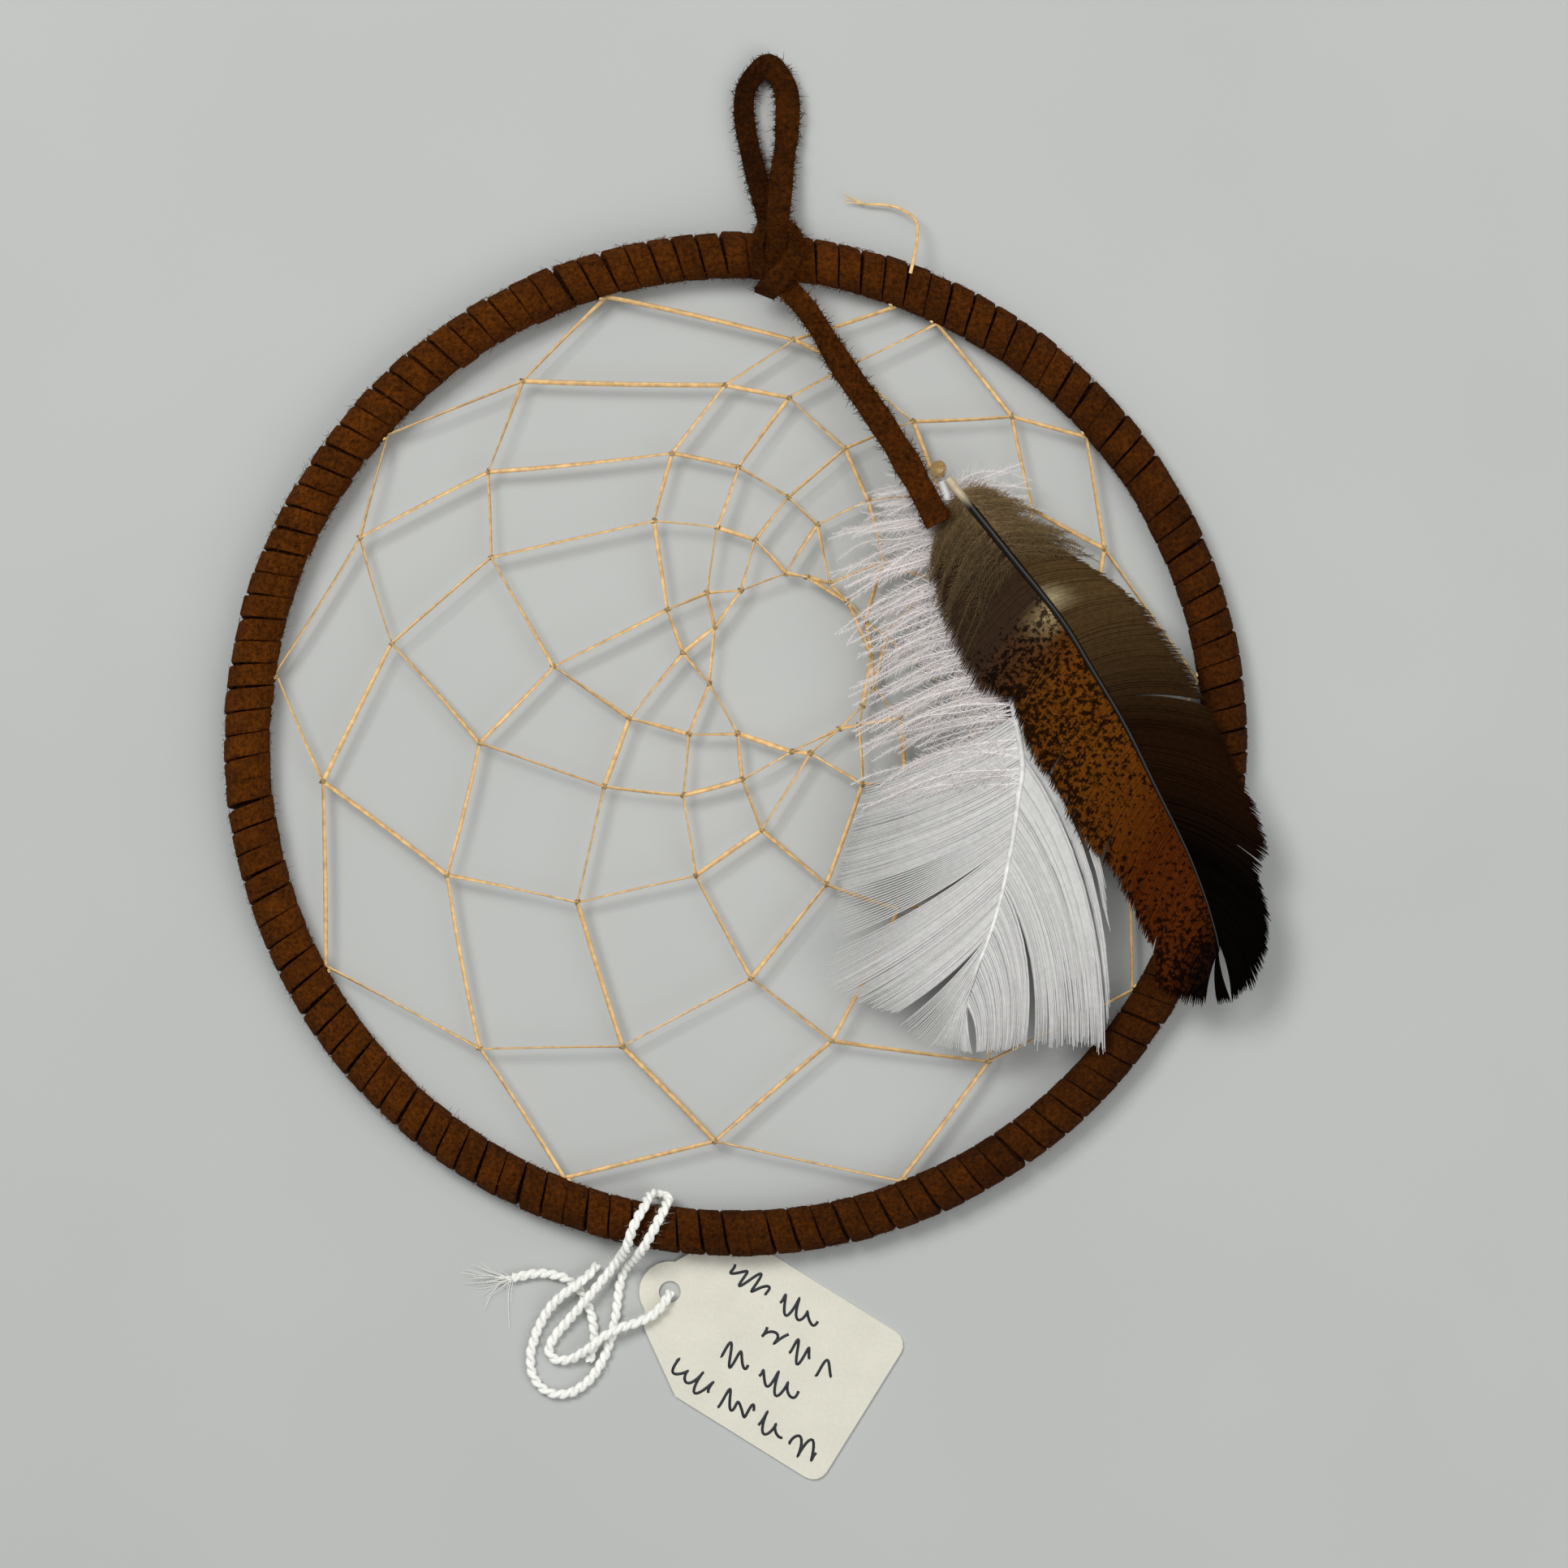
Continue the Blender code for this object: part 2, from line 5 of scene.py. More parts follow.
import bmesh
import bpy
import numpy as np
from bpy.props import FloatProperty, IntProperty, PointerProperty, StringProperty
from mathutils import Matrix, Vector, noise


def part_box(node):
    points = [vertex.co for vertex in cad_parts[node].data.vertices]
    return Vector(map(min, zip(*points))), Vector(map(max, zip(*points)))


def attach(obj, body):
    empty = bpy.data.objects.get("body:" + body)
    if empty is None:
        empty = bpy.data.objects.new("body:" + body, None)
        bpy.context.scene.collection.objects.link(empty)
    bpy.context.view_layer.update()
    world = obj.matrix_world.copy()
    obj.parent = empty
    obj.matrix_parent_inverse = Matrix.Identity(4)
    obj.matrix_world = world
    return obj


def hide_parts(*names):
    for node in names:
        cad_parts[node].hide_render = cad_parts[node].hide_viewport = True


bl_info = {
    "name": "Dream Catcher",
    "version": (1, 0, 0),
    "blender": (4, 5, 0),
    "location": "3D View > Sidebar > Dream Catcher",
    "description": "Builds a suede-wound dream catcher with its web, feathers and tag round a fixed frame",
    "category": "Object",
}

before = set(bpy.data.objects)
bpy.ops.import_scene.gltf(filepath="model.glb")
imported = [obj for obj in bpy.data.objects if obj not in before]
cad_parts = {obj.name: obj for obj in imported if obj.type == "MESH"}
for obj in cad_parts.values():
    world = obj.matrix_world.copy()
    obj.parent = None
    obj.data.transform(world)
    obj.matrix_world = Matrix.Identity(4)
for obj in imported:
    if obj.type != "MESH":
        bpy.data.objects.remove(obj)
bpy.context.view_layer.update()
MM = 0.001
UPRIGHT = np.array([0, 0, 1.0])

# Places that the frame gives: the hoop's middle, its tube's height and radius.
WRAP_LOW, WRAP_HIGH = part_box("hoop_wrap")
HOOP = Vector(((WRAP_LOW.x + WRAP_HIGH.x) / 2, (WRAP_LOW.y + WRAP_HIGH.y) / 2, 0))
TUBE_RADIUS = 0.0029
RING_RADIUS = (WRAP_HIGH.x - WRAP_LOW.x) / 2 - TUBE_RADIUS
TUBE_HEIGHT = (WRAP_LOW.z + WRAP_HIGH.z) / 2

# The web thread's route, a hitch at each point, one round to a row, in millimetres from the hoop's middle.
THREADS_PER_ROUND = 11
HOOP_HITCH_RADIUS = 0.0590
HITCH_RADIUS = 0.0003
WEB_ROUTE = (
    ((20.0, 54.9), (-16.5, 56.9), (-44.6, 39.7), (-58.9, 9.3), (-51.4, -27.8), (-21.2, -53.4),
     (20.6, -54.8),
     (50.7, -31.5), (59.0, 8.2), (44.4, 39.0), (25.4, 53.4)),
    ((7.3, 51.2), (-27.0, 46.0), (-47.6, 26.2), (-52.3, -4.7), (-32.4, -38.5), (-2.7, -50.2), (31.9, -40.1),
     (49.6, -10.2), (46.6, 24.8), (34.9, 41.5), (14.2, 47.9)),
    ((-1.4, 45.5), (-31.4, 34.5), (-43.6, 12.8), (-36.6, -16.5), (-14.4, -38.2), (12.1, -37.5),
     (35.1, -19.1),
     (43.8, 6.9), (37.6, 29.7), (22.4, 40.9), (6.7, 43.9)),
    ((-8.1, 36.9), (-31.0, 23.7), (-32.5, 0.2), (-20.1, -20.0), (1.9, -29.6), (20.6, -20.8), (33.6, -4.6),
     (34.6, 15.6), (25.9, 31.8), (13.8, 37.5), (0.3, 35.1)),
    ((-10.4, 28.3), (-23.1, 9.9), (-16.7, -5.3), (-5.1, -16.6), (11.4, -17.7), (21.3, -5.0), (26.9, 7.1),
     (24.9, 20.7), (16.7, 30.9), (6.6, 31.3), (-2.4, 27.5)),
    ((-8.7, 17.1), (-13.5, 3.3), (-6.7, -6.4), (3.2, -10.8), (16.0, -5.0), (20.9, 3.4), (19.0, 13.7),
     (18.6, 23.2), (10.3, 27.8), (2.4, 25.9), (-3.7, 19.2)),
    ((-6.7, 11.6), (-6.0, 1.3), (0.8, -4.4), (9.4, -1.1), (15.6, 2.5), (17.4, 7.3), (16.4, 15.6),
     (11.9, 20.4),
     (6.3, 21.7), (0.6, 19.5), (-2.7, 14.9)),
    ((-3.4, 7.7), (0.2, 1.4), (7.0, -0.9), (13.1, 2.0), (16.0, 4.9), (17.1, 11.2), (14.1, 18.1),
     (9.0, 21.2)),
)
TAIL_ROUTE = (
    (22.0, 59.4, 5.5), (22.4, 61.2, 5.2), (22.9, 64.0, 4.2), (22.7, 66.2, 3.4), (21.3, 67.6, 2.2),
    (19.2, 68.4, 1.4), (16.3, 68.6, 1.0),
)

# The suede laces.
LOOP_ROUTE = (
    (4.2, 64.6, 5.2), (3.9, 66.2, 3.9), (3.5, 68.4, 2.5), (2.7, 71.6, 1.9), (1.7, 75.6, 1.6),
    (1.0, 79.6, 1.5), (1.2, 83.0, 1.4), (2.6, 85.2, 1.3), (4.1, 86.2, 1.6), (5.3, 84.9, 2.0),
    (6.4, 82.6, 1.9), (6.5, 79.4, 1.8), (6.3, 76.2, 1.9), (5.8, 72.4, 2.6), (5.5, 68.8, 3.5),
    (5.3, 66.2, 4.9), (5.2, 64.0, 6.3), (5.1, 61.8, 6.9), (5.0, 60.0, 6.8),
)
LOOP_WIDTHS = (
    2.2, 2.3, 2.5, 2.6, 2.6, 2.6, 2.6, 2.5, 2.6, 2.9, 3.0, 3.0, 2.9, 2.9, 2.9, 2.9, 2.8, 2.7, 2.6,
)
PENDANT_ROUTE = (
    (5.6, 58.4, 6.4), (7.6, 56.2, 6.9), (9.7, 53.6, 7.1), (13.5, 47.4, 7.6), (17.9, 41.0, 8.3),
    (21.6, 35.0, 9.2), (25.5, 27.7, 9.9),
)
KNOT_LEFT = (
    (3.9, 65.4, 5.0), (3.1, 64.5, 6.3), (2.8, 62.6, 7.0), (3.1, 60.4, 7.1), (4.2, 59.0, 6.9),
    (5.6, 58.4, 6.4),
)
KNOT_CROSS = (
    (6.2, 65.9, 4.6), (7.0, 65.0, 6.2), (7.6, 63.6, 7.2), (7.4, 61.8, 7.9), (6.5, 60.1, 8.1),
    (5.3, 58.6, 7.6), (4.3, 57.5, 6.4), (3.6, 57.0, 4.6),
)
KNOT_LEFT_WIDTHS = (1.6, 1.4, 1.3, 1.3, 1.5, 1.8)
KNOT_CROSS_WIDTHS = (1.3, 1.4, 1.7, 2.1, 2.5, 2.8, 2.9, 2.7)
PENDANT_WIDTHS = (2.7, 2.9, 3.0, 3.1, 3.2, 3.2, 3.1)
SUEDE_FIBRES_PER_MM = 34
# A lace leans out from the tube this near its ring, and lies flat this much further out.
LEANS_WITHIN = 0.0042
LEANS_OVER = 0.0022
# Radius of the dark tube under the winding, painted shade in the gaps between the turns.
GAP_SHADE_RADIUS = 0.00195

# Half widths of loose fibres from root to tip, in millimetres.
LACE_FIBRE = (0.050, 0.038, 0.014)
HOOP_FIBRE = (0.048, 0.036, 0.014)
COTTON_FIBRE = (0.018, 0.014, 0.006)

FEATHER_HINGE = (25.5, 34.5, 8.1)
WHITE_LEVEL = 7.3
BROWN_LEVEL = 8.8
WHITE_QUILL = (
    (26.0, 33.1), (29.0, 22.2), (33.1, 12.0), (35.9, -0.9), (35.5, -6.8), (34.6, -13.1), (33.1, -20.1),
    (31.4, -25.5), (29.5, -30.2), (28.9, -34.9),
)
BROWN_QUILL = (
    (26.6, 33.3), (29.6, 29.7), (34.6, 23.5), (40.8, 15.7), (44.7, 9.4), (48.9, 2.3), (52.6, -5.2),
    (56.5, -13.1), (58.8, -18.9), (60.1, -23.2), (60.7, -25.8),
)

# Each vane's outer edge: a share of the quill from root to tip, and where the barb that starts there ends.
WHITE_LEFT_EDGE = (
    (0.42, 17.5, -3.0), (0.50, 15.3, -9.0), (0.56, 13.8, -14.0), (0.62, 12.6, -18.5),
    (0.66, 12.4, -25.4), (0.665, 12.0, -26.4), (0.70, 11.8, -30.2), (0.76, 15.6, -32.0),
    (0.80, 18.2, -33.3), (0.83, 20.2, -33.8), (0.835, 20.9, -34.9), (0.87, 24.5, -37.8),
    (0.92, 28.4, -38.6), (0.98, 30.0, -38.8),
)
WHITE_RIGHT_EDGE = (
    (0.36, 45.0, -12.0), (0.42, 46.2, -17.5), (0.465, 46.6, -22.5), (0.47, 46.9, -30.0),
    (0.505, 46.7, -34.6), (0.51, 46.4, -38.0), (0.58, 44.6, -37.4), (0.66, 42.0, -37.2),
    (0.745, 37.2, -37.8), (0.75, 36.4, -37.6), (0.85, 33.6, -38.4), (0.93, 31.0, -38.6),
    (0.98, 30.0, -38.8),
)
WHITE_DOWN_LEFT = (
    (0.05, 20.5, 36.5), (0.09, 14.5, 31.5), (0.14, 11.3, 25.0), (0.22, 12.2, 15.3), (0.31, 13.6, 9.0),
    (0.38, 14.4, 4.5), (0.48, 14.9, -1.5), (0.56, 14.8, -7.5), (0.64, 14.3, -12.5),
)
WHITE_DOWN_RIGHT = (
    (0.05, 29.5, 40.5), (0.08, 35.5, 37.0), (0.12, 39.5, 31.5), (0.16, 41.0, 26.0), (0.30, 42.5, 12.0),
    (0.46, 44.5, -2.0),
)
BROWN_LEFT_EDGE = (
    (0.07, 25.6, 28.0), (0.14, 24.6, 21.5), (0.20, 26.0, 15.0), (0.28, 30.0, 6.8), (0.345, 34.6, 5.4),
    (0.43, 37.0, -1.4), (0.52, 40.4, -6.0), (0.60, 43.3, -12.0), (0.68, 47.0, -15.6),
    (0.77, 50.3, -21.8), (0.86, 52.9, -27.0), (0.92, 52.6, -30.4), (0.97, 56.0, -32.4),
    (1.0, 59.5, -32.9),
)
BROWN_DOWN_LEFT = (
    (0.0, 24.0, 30.5), (0.06, 23.6, 25.5), (0.14, 24.2, 19.5), (0.22, 26.2, 12.5), (0.30, 30.2, 5.0),
    (0.36, 33.5, 4.5), (0.46, 37.0, -1.0),
)
BROWN_DOWN_RIGHT = (
    (0.06, 31.0, 32.6), (0.10, 35.5, 31.0), (0.18, 41.8, 26.6), (0.26, 46.6, 21.8), (0.36, 51.0, 16.5),
)
BROWN_RIGHT_EDGE = (
    (0.07, 30.5, 30.5), (0.13, 36.0, 27.6), (0.19, 41.5, 24.3), (0.26, 46.8, 20.8), (0.35, 51.6, 17.0),
    (0.44, 56.5, 10.2), (0.54, 61.0, 1.5), (0.63, 65.0, -7.5), (0.70, 66.8, -13.0), (0.76, 65.6, -16.6),
    (0.82, 67.0, -21.5), (0.88, 66.8, -26.0), (0.94, 65.0, -30.4), (0.98, 62.0, -32.4),
    (1.0, 60.0, -32.9),
)

# The tag string, from the tag's hole to the hoop and back, and its loose frayed end.
STRING_ROUTE = (
    (-8.4, -69.5, 0.8), (-8.7, -70.0, 1.25), (-9.5, -71.3, 1.5), (-11.4, -72.8, 1.6),
    (-15.2, -74.1, 2.1), (-17.2, -75.3, 2.1), (-18.8, -76.6, 2.0), (-20.8, -77.9, 1.0),
    (-22.8, -78.1, 0.7), (-23.8, -76.8, 0.7), (-22.8, -74.8, 0.7), (-20.9, -72.6, 1.2),
    (-18.8, -70.1, 2.1), (-17.1, -68.0, 2.1), (-15.7, -66.3, 2.4), (-14.6, -64.7, 3.7),
    (-13.8, -63.4, 5.9), (-12.9, -60.7, 7.0), (-11.5, -58.1, 5.9), (-10.8, -56.9, 3.6),
    (-9.9, -57.0, 1.9), (-8.6, -57.3, 3.6), (-9.0, -58.4, 5.8), (-10.1, -60.6, 7.0),
    (-11.6, -63.4, 6.2), (-12.9, -65.0, 3.5), (-14.1, -66.6, 1.0), (-14.8, -68.6, 0.7),
    (-15.1, -71.0, 0.7), (-15.5, -73.7, 0.7), (-16.3, -76.6, 0.7), (-17.8, -79.6, 0.7),
    (-19.9, -81.7, 0.7), (-22.3, -82.5, 0.7), (-24.5, -81.8, 0.7), (-25.9, -79.8, 0.7),
    (-26.1, -77.4, 0.7), (-25.5, -75.0, 0.7), (-24.5, -72.8, 0.8), (-23.0, -70.7, 1.5),
    (-21.0, -69.0, 2.1), (-19.0, -67.5, 1.6), (-17.6, -66.0, 0.8),
)
STRING_END_ROUTE = (
    (-28.4, -67.7, 0.7), (-25.0, -67.1, 0.7), (-21.8, -67.7, 0.7), (-19.7, -69.5, 0.7),
    (-18.4, -72.4, 0.7), (-18.0, -75.6, 0.7), (-18.7, -78.3, 0.7),
)
PLY_OFFSET = 0.0003
FRAYED_FIBRES = 46
COTTON_FIBRES_PER_MM = 7
STRING_SURFACE = 0.0006

TAG_HOLE = (-8.4, -69.5)
TAG_TURN = math.radians(-31.9)
# Each line of pen strokes on the tag: where it starts and ends along the tag, and its place across it.
PEN_LINES = ((4.8, 19.6, 6.6), (12.5, 22.8, 2.2), (9.4, 20.7, -2.7), (5.0, 27.0, -7.8))
WAVES_PER_MM = 3.6

# The stage: what the camera looks down at, its sensor in millimetres, and the height it frames.
VIEW_MIDDLE = Vector((0.00505, -0.01642, 0))
SENSOR_WIDTH = 36
PIECE_HEIGHT = 0.003


# Small helpers for places, curves and colours.


def at(point, height=0.0):
    """A point in the frame, in metres, from millimetres measured from the hoop's middle."""
    z = point[2] if len(point) == 3 else height
    return HOOP + Vector((point[0], point[1], z)) * MM


def linear(hex_colour):
    """A linear colour from an sRGB hex value."""
    parts = [int(hex_colour[i : i + 2], 16) / 255 for i in (1, 3, 5)]
    return tuple(c / 12.92 if c <= 0.04045 else ((c + 0.055) / 1.055) ** 2.4 for c in parts)


def through(points, count):
    """Evenly numbered points on one smooth curve through the given ones."""
    points = [np.array(p, float) for p in points]
    ends = [points[0] * 2 - points[1], *points, points[-1] * 2 - points[-2]]
    spans = len(points) - 1
    curve = []
    for step in range(count):
        where = step / (count - 1) * spans
        span = min(int(where), spans - 1)
        t = where - span
        a, b, c, d = ends[span : span + 4]
        cubic = (3 * b - 3 * c + d - a) * t**3
        curve.append(0.5 * (2 * b + (c - a) * t + (2 * a - 5 * b + 4 * c - d) * t**2 + cubic))
    return np.array(curve)


def even(points, count):
    """Points at even distances along a smooth curve through the given ones."""
    fine = through(points, 20 * len(points))
    run = np.concatenate([[0], np.cumsum(np.linalg.norm(np.diff(fine, axis=0), axis=1))])
    wanted = np.linspace(0, run[-1], count)
    return np.stack([np.interp(wanted, run, fine[:, axis]) for axis in range(fine.shape[1])], axis=1)


def directions(points):
    """The unit direction of a line at each of its points."""
    runs = np.gradient(points, axis=0)
    return runs / np.linalg.norm(runs, axis=1, keepdims=True)


def mix(a, b, share):
    """A colour that share of the way from a to b."""
    return np.array(a) * (1 - share) + np.array(b) * share


# Node trees.


def add(tree, kind, inputs=None, **settings):
    """Adds a node with its settings, and links or sets its inputs, which are named or numbered."""
    made = tree.nodes.new(kind)
    for name, value in settings.items():
        setattr(made, name, value)
    for key, value in (inputs or {}).items():
        socket = made.inputs[key]
        if isinstance(value, bpy.types.NodeSocket):
            tree.links.new(value, socket)
        else:
            socket.default_value = value
    return made


def strand_tree(boxy):
    """Geometry nodes that give each polyline its thickness: an oval section, or a lace's squarish one."""
    tree = bpy.data.node_groups.new("Lace section" if boxy else "Oval section", "GeometryNodeTree")
    face = tree.interface
    face.new_socket("Geometry", in_out="INPUT", socket_type="NodeSocketGeometry")
    for name, kind in (("Sides", "NodeSocketInt"), ("Flatness", "NodeSocketFloat"),
                       ("Capped", "NodeSocketBool"), ("Material", "NodeSocketMaterial")):
        face.new_socket(name, in_out="INPUT", socket_type=kind)
    face.new_socket("Geometry", in_out="OUTPUT", socket_type="NodeSocketGeometry")
    given = add(tree, "NodeGroupInput").outputs
    curve = add(tree, "GeometryNodeMeshToCurve", {"Mesh": given["Geometry"]}).outputs["Curve"]
    up = add(tree, "GeometryNodeInputNamedAttribute", {"Name": "up"},
             data_type="FLOAT_VECTOR").outputs["Attribute"]
    reach = add(tree, "GeometryNodeInputNamedAttribute", {"Name": "reach"},
                data_type="FLOAT").outputs["Attribute"]
    curve = add(tree, "GeometryNodeSetCurveNormal", {"Curve": curve, "Normal": up},
                mode="FREE").outputs["Curve"]
    if boxy:
        section = add(tree, "GeometryNodeCurvePrimitiveQuadrilateral",
                      {"Width": 2.0, "Height": 2.0}).outputs["Curve"]
        section = add(tree, "GeometryNodeFilletCurve", {"Curve": section, "Count": 2, "Radius": 0.24},
                      mode="POLY").outputs["Curve"]
    else:
        section = add(tree, "GeometryNodeCurvePrimitiveCircle",
                      {"Resolution": given["Sides"], "Radius": 1.0}).outputs["Curve"]
    scale = add(tree, "ShaderNodeCombineXYZ",
                {"X": given["Flatness"], "Y": 1.0, "Z": 1.0}).outputs["Vector"]
    section = add(tree, "GeometryNodeTransform", {"Geometry": section, "Scale": scale}).outputs["Geometry"]
    tube = add(tree, "GeometryNodeCurveToMesh",
               {"Curve": curve, "Profile Curve": section, "Scale": reach,
                "Fill Caps": given["Capped"]}).outputs["Mesh"]
    smooth = add(tree, "GeometryNodeSetShadeSmooth", {"Geometry": tube}).outputs["Geometry"]
    whole = add(tree, "GeometryNodeRealizeInstances", {"Geometry": smooth}).outputs["Geometry"]
    done = add(tree, "GeometryNodeSetMaterial",
               {"Geometry": whole, "Material": given["Material"]}).outputs["Geometry"]
    add(tree, "NodeGroupOutput", {"Geometry": done})
    return tree


def grown(obj, tree, name, **values):
    """The plain mesh object that a node tree makes from obj, which it replaces."""
    modifier = obj.modifiers.new("nodes", "NODES")
    modifier.node_group = tree
    for item in tree.interface.items_tree:
        if item.in_out == "INPUT" and item.name in values:
            modifier[item.identifier] = values[item.name]
    bpy.context.view_layer.update()
    graph = bpy.context.evaluated_depsgraph_get()
    mesh = bpy.data.meshes.new_from_object(obj.evaluated_get(graph))
    mesh.name = name
    bpy.data.objects.remove(obj, do_unlink=True)
    return linked(name, mesh)


def linked(name, mesh):
    """A new object of a mesh, in the scene."""
    made = bpy.data.objects.new(name, mesh)
    bpy.context.scene.collection.objects.link(made)
    return made


def strands(name, lines, material, boxy=False, sides=6, flatness=1.0, capped=True):
    """One piece made of many strands.

    Each line has its points, half widths, the section's upright direction, its colours and, for a
    flecked one, how flecked it is.
    """
    counts = [len(line[0]) for line in lines]
    points = np.concatenate([line[0] for line in lines])
    starts = np.concatenate([[0], np.cumsum(counts)])
    edges = [(start + i, start + i + 1) for start, count in zip(starts, counts) for i in range(count - 1)]
    mesh = bpy.data.meshes.new(name)
    mesh.from_pydata(points.tolist(), edges, [])
    reach = np.concatenate([np.broadcast_to(line[1], count) for line, count in zip(lines, counts)])
    up = np.concatenate([np.broadcast_to(line[2], (count, 3)) for line, count in zip(lines, counts)])
    tint = np.concatenate([np.broadcast_to(line[3], (count, 3)) for line, count in zip(lines, counts)])
    fleck = np.concatenate([np.broadcast_to(line[4] if len(line) > 4 else 0.0, count) for line,
                            count in zip(lines, counts)])
    mesh.attributes.new("reach", "FLOAT", "POINT").data.foreach_set("value", reach.astype(np.float32))
    mesh.attributes.new("fleck", "FLOAT", "POINT").data.foreach_set("value", fleck.astype(np.float32))
    mesh.attributes.new("up", "FLOAT_VECTOR", "POINT").data.foreach_set("vector",
                                                                        up.astype(np.float32).ravel())
    colour = np.concatenate([tint, np.ones((len(tint), 1))], axis=1)
    mesh.attributes.new("tint", "FLOAT_COLOR", "POINT").data.foreach_set("color",
                                                                         colour.astype(np.float32).ravel())
    raw = linked(name + "_lines", mesh)
    tree = TREES["lace" if boxy else "oval"]
    return grown(raw, tree, name, Sides=sides, Flatness=flatness, Capped=capped, Material=material)


def joined(name, objects):
    """Mesh objects of one material made one piece."""
    bm = bmesh.new()
    target = bpy.data.meshes.new(name)
    target.materials.append(objects[0].data.materials[0])
    for obj in objects:
        bm.from_mesh(obj.data)
    bm.to_mesh(target)
    bm.free()
    for obj in objects:
        bpy.data.objects.remove(obj, do_unlink=True)
    return linked(name, target)


def show(obj, body, slot, *nodes):
    """The piece moves with a body and stands for CAD nodes; its slot argument is not used."""
    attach(obj, body)
    if nodes:
        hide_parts(*nodes)
    return obj


# Materials. Each is named for what the real one is.


def new_material(name, **settings):
    """A material with its Principled shader's constants set on the shader's own sockets."""
    material = bpy.data.materials.new(name)
    material.use_nodes = True
    shader = material.node_tree.nodes["Principled BSDF"]
    for key, value in settings.items():
        shader.inputs[key.replace("_", " ").title().replace("Ior", "IOR")].default_value = value
    return material, material.node_tree, shader


def object_noise(tree, size, detail=2.0, stretch=None, roughness=0.5):
    """Noise whose features are about size metres across, on Object coordinates."""
    place = add(tree, "ShaderNodeTexCoord").outputs["Object"]
    if stretch:
        place = add(tree, "ShaderNodeMapping",
                    {"Vector": place, "Rotation": stretch[0], "Scale": stretch[1]}).outputs["Vector"]
    return add(tree, "ShaderNodeTexNoise",
               {"Vector": place, "Scale": 1 / size, "Detail": detail,
                "Roughness": roughness}).outputs["Fac"]


def spread(tree, value, low, high, to_low, to_high):
    return add(tree, "ShaderNodeMapRange",
               {"Value": value, "From Min": low, "From Max": high, "To Min": to_low,
                "To Max": to_high}).outputs["Result"]


def times(tree, colour, factor):
    """The colour made lighter or darker by a factor."""
    return add(tree, "ShaderNodeVectorMath", {0: colour, "Scale": factor},
               operation="SCALE").outputs["Vector"]


def bumped(tree, shader, height, distance, strength=1.0):
    bump = add(tree, "ShaderNodeBump", {"Height": height, "Distance": distance, "Strength": strength})
    tree.links.new(bump.outputs["Normal"], shader.inputs["Normal"])


def suede():
    """Vegetable-dyed suede split: a matt brushed nap, coloured by the tint attribute, which carries the
    pieces' painted light and shade.
    """
    material, tree, shader = new_material("suede_split", roughness=0.95, specular_ior_level=0.08)
    tint = add(tree, "ShaderNodeAttribute", attribute_name="tint").outputs["Color"]
    nap = object_noise(tree, 0.00055, detail=5, roughness=0.75)
    patch = object_noise(tree, 0.0028, detail=2)
    colour = times(tree, tint, spread(tree, nap, 0.3, 0.7, 0.25, 2.1))
    colour = times(tree, colour, spread(tree, patch, 0.3, 0.7, 0.78, 1.22))
    tree.links.new(colour, shader.inputs["Base Color"])
    bumped(tree, shader, nap, 0.0006, 1.0)
    return material


def sinew():
    """Waxed artificial sinew, a flat nylon thread: honey-coloured, a little see-through, waxy."""
    material, tree, shader = new_material("waxed_sinew", roughness=0.38, specular_ior_level=0.45,
                                          subsurface_weight=0.25, subsurface_scale=0.0006)
    tint = add(tree, "ShaderNodeAttribute", attribute_name="tint").outputs["Color"]
    streak = object_noise(tree, 0.0009, detail=3)
    tree.links.new(times(tree, tint, spread(tree, streak, 0.3, 0.7, 0.72, 1.2)),
                   shader.inputs["Base Color"])
    bumped(tree, shader, object_noise(tree, 0.00018, detail=2), 0.00004, 0.5)
    return material


def feather_keratin(name, gloss, sheen, mottle, shine):
    """Feather barbs: dry keratin threads, matt along their edges, dark-flecked where they are marked so."""
    material, tree, shader = new_material(name, roughness=gloss, sheen_weight=sheen,
                                          sheen_roughness=0.4, specular_ior_level=shine)
    tint = add(tree, "ShaderNodeAttribute", attribute_name="tint")
    fleck = add(tree, "ShaderNodeAttribute", attribute_name="fleck").outputs["Fac"]
    spots = object_noise(tree, 0.00065, detail=4, roughness=0.66)
    streak = object_noise(tree, 0.0006, detail=3)
    where = add(tree, "ShaderNodeMath", {0: fleck, 1: spots}, operation="SUBTRACT").outputs[0]
    amount = spread(tree, where, -0.02, 0.05, 0.0, 1.0)
    base = times(tree, tint.outputs["Color"], spread(tree, streak, 0.3, 0.7, 1 - mottle, 1 + mottle))
    dark = times(tree, base, 0.12)
    colour = add(tree, "ShaderNodeMix", {0: amount, 6: base, 7: dark}, data_type="RGBA").outputs[2]
    tree.links.new(colour, shader.inputs["Base Color"])
    return material


def quill_horn(name, gloss):
    """A feather's shaft: hard keratin, smooth and glossy, with fine length-wise lines."""
    material, tree, shader = new_material(name, roughness=gloss, specular_ior_level=0.55,
                                          coat_weight=0.2, coat_roughness=0.15)
    tint = add(tree, "ShaderNodeAttribute", attribute_name="tint").outputs["Color"]
    streak = object_noise(tree, 0.0012, detail=3)
    tree.links.new(times(tree, tint, spread(tree, streak, 0.3, 0.7, 0.8, 1.18)),
                   shader.inputs["Base Color"])
    bumped(tree, shader, streak, 0.00006, 0.4)
    return material


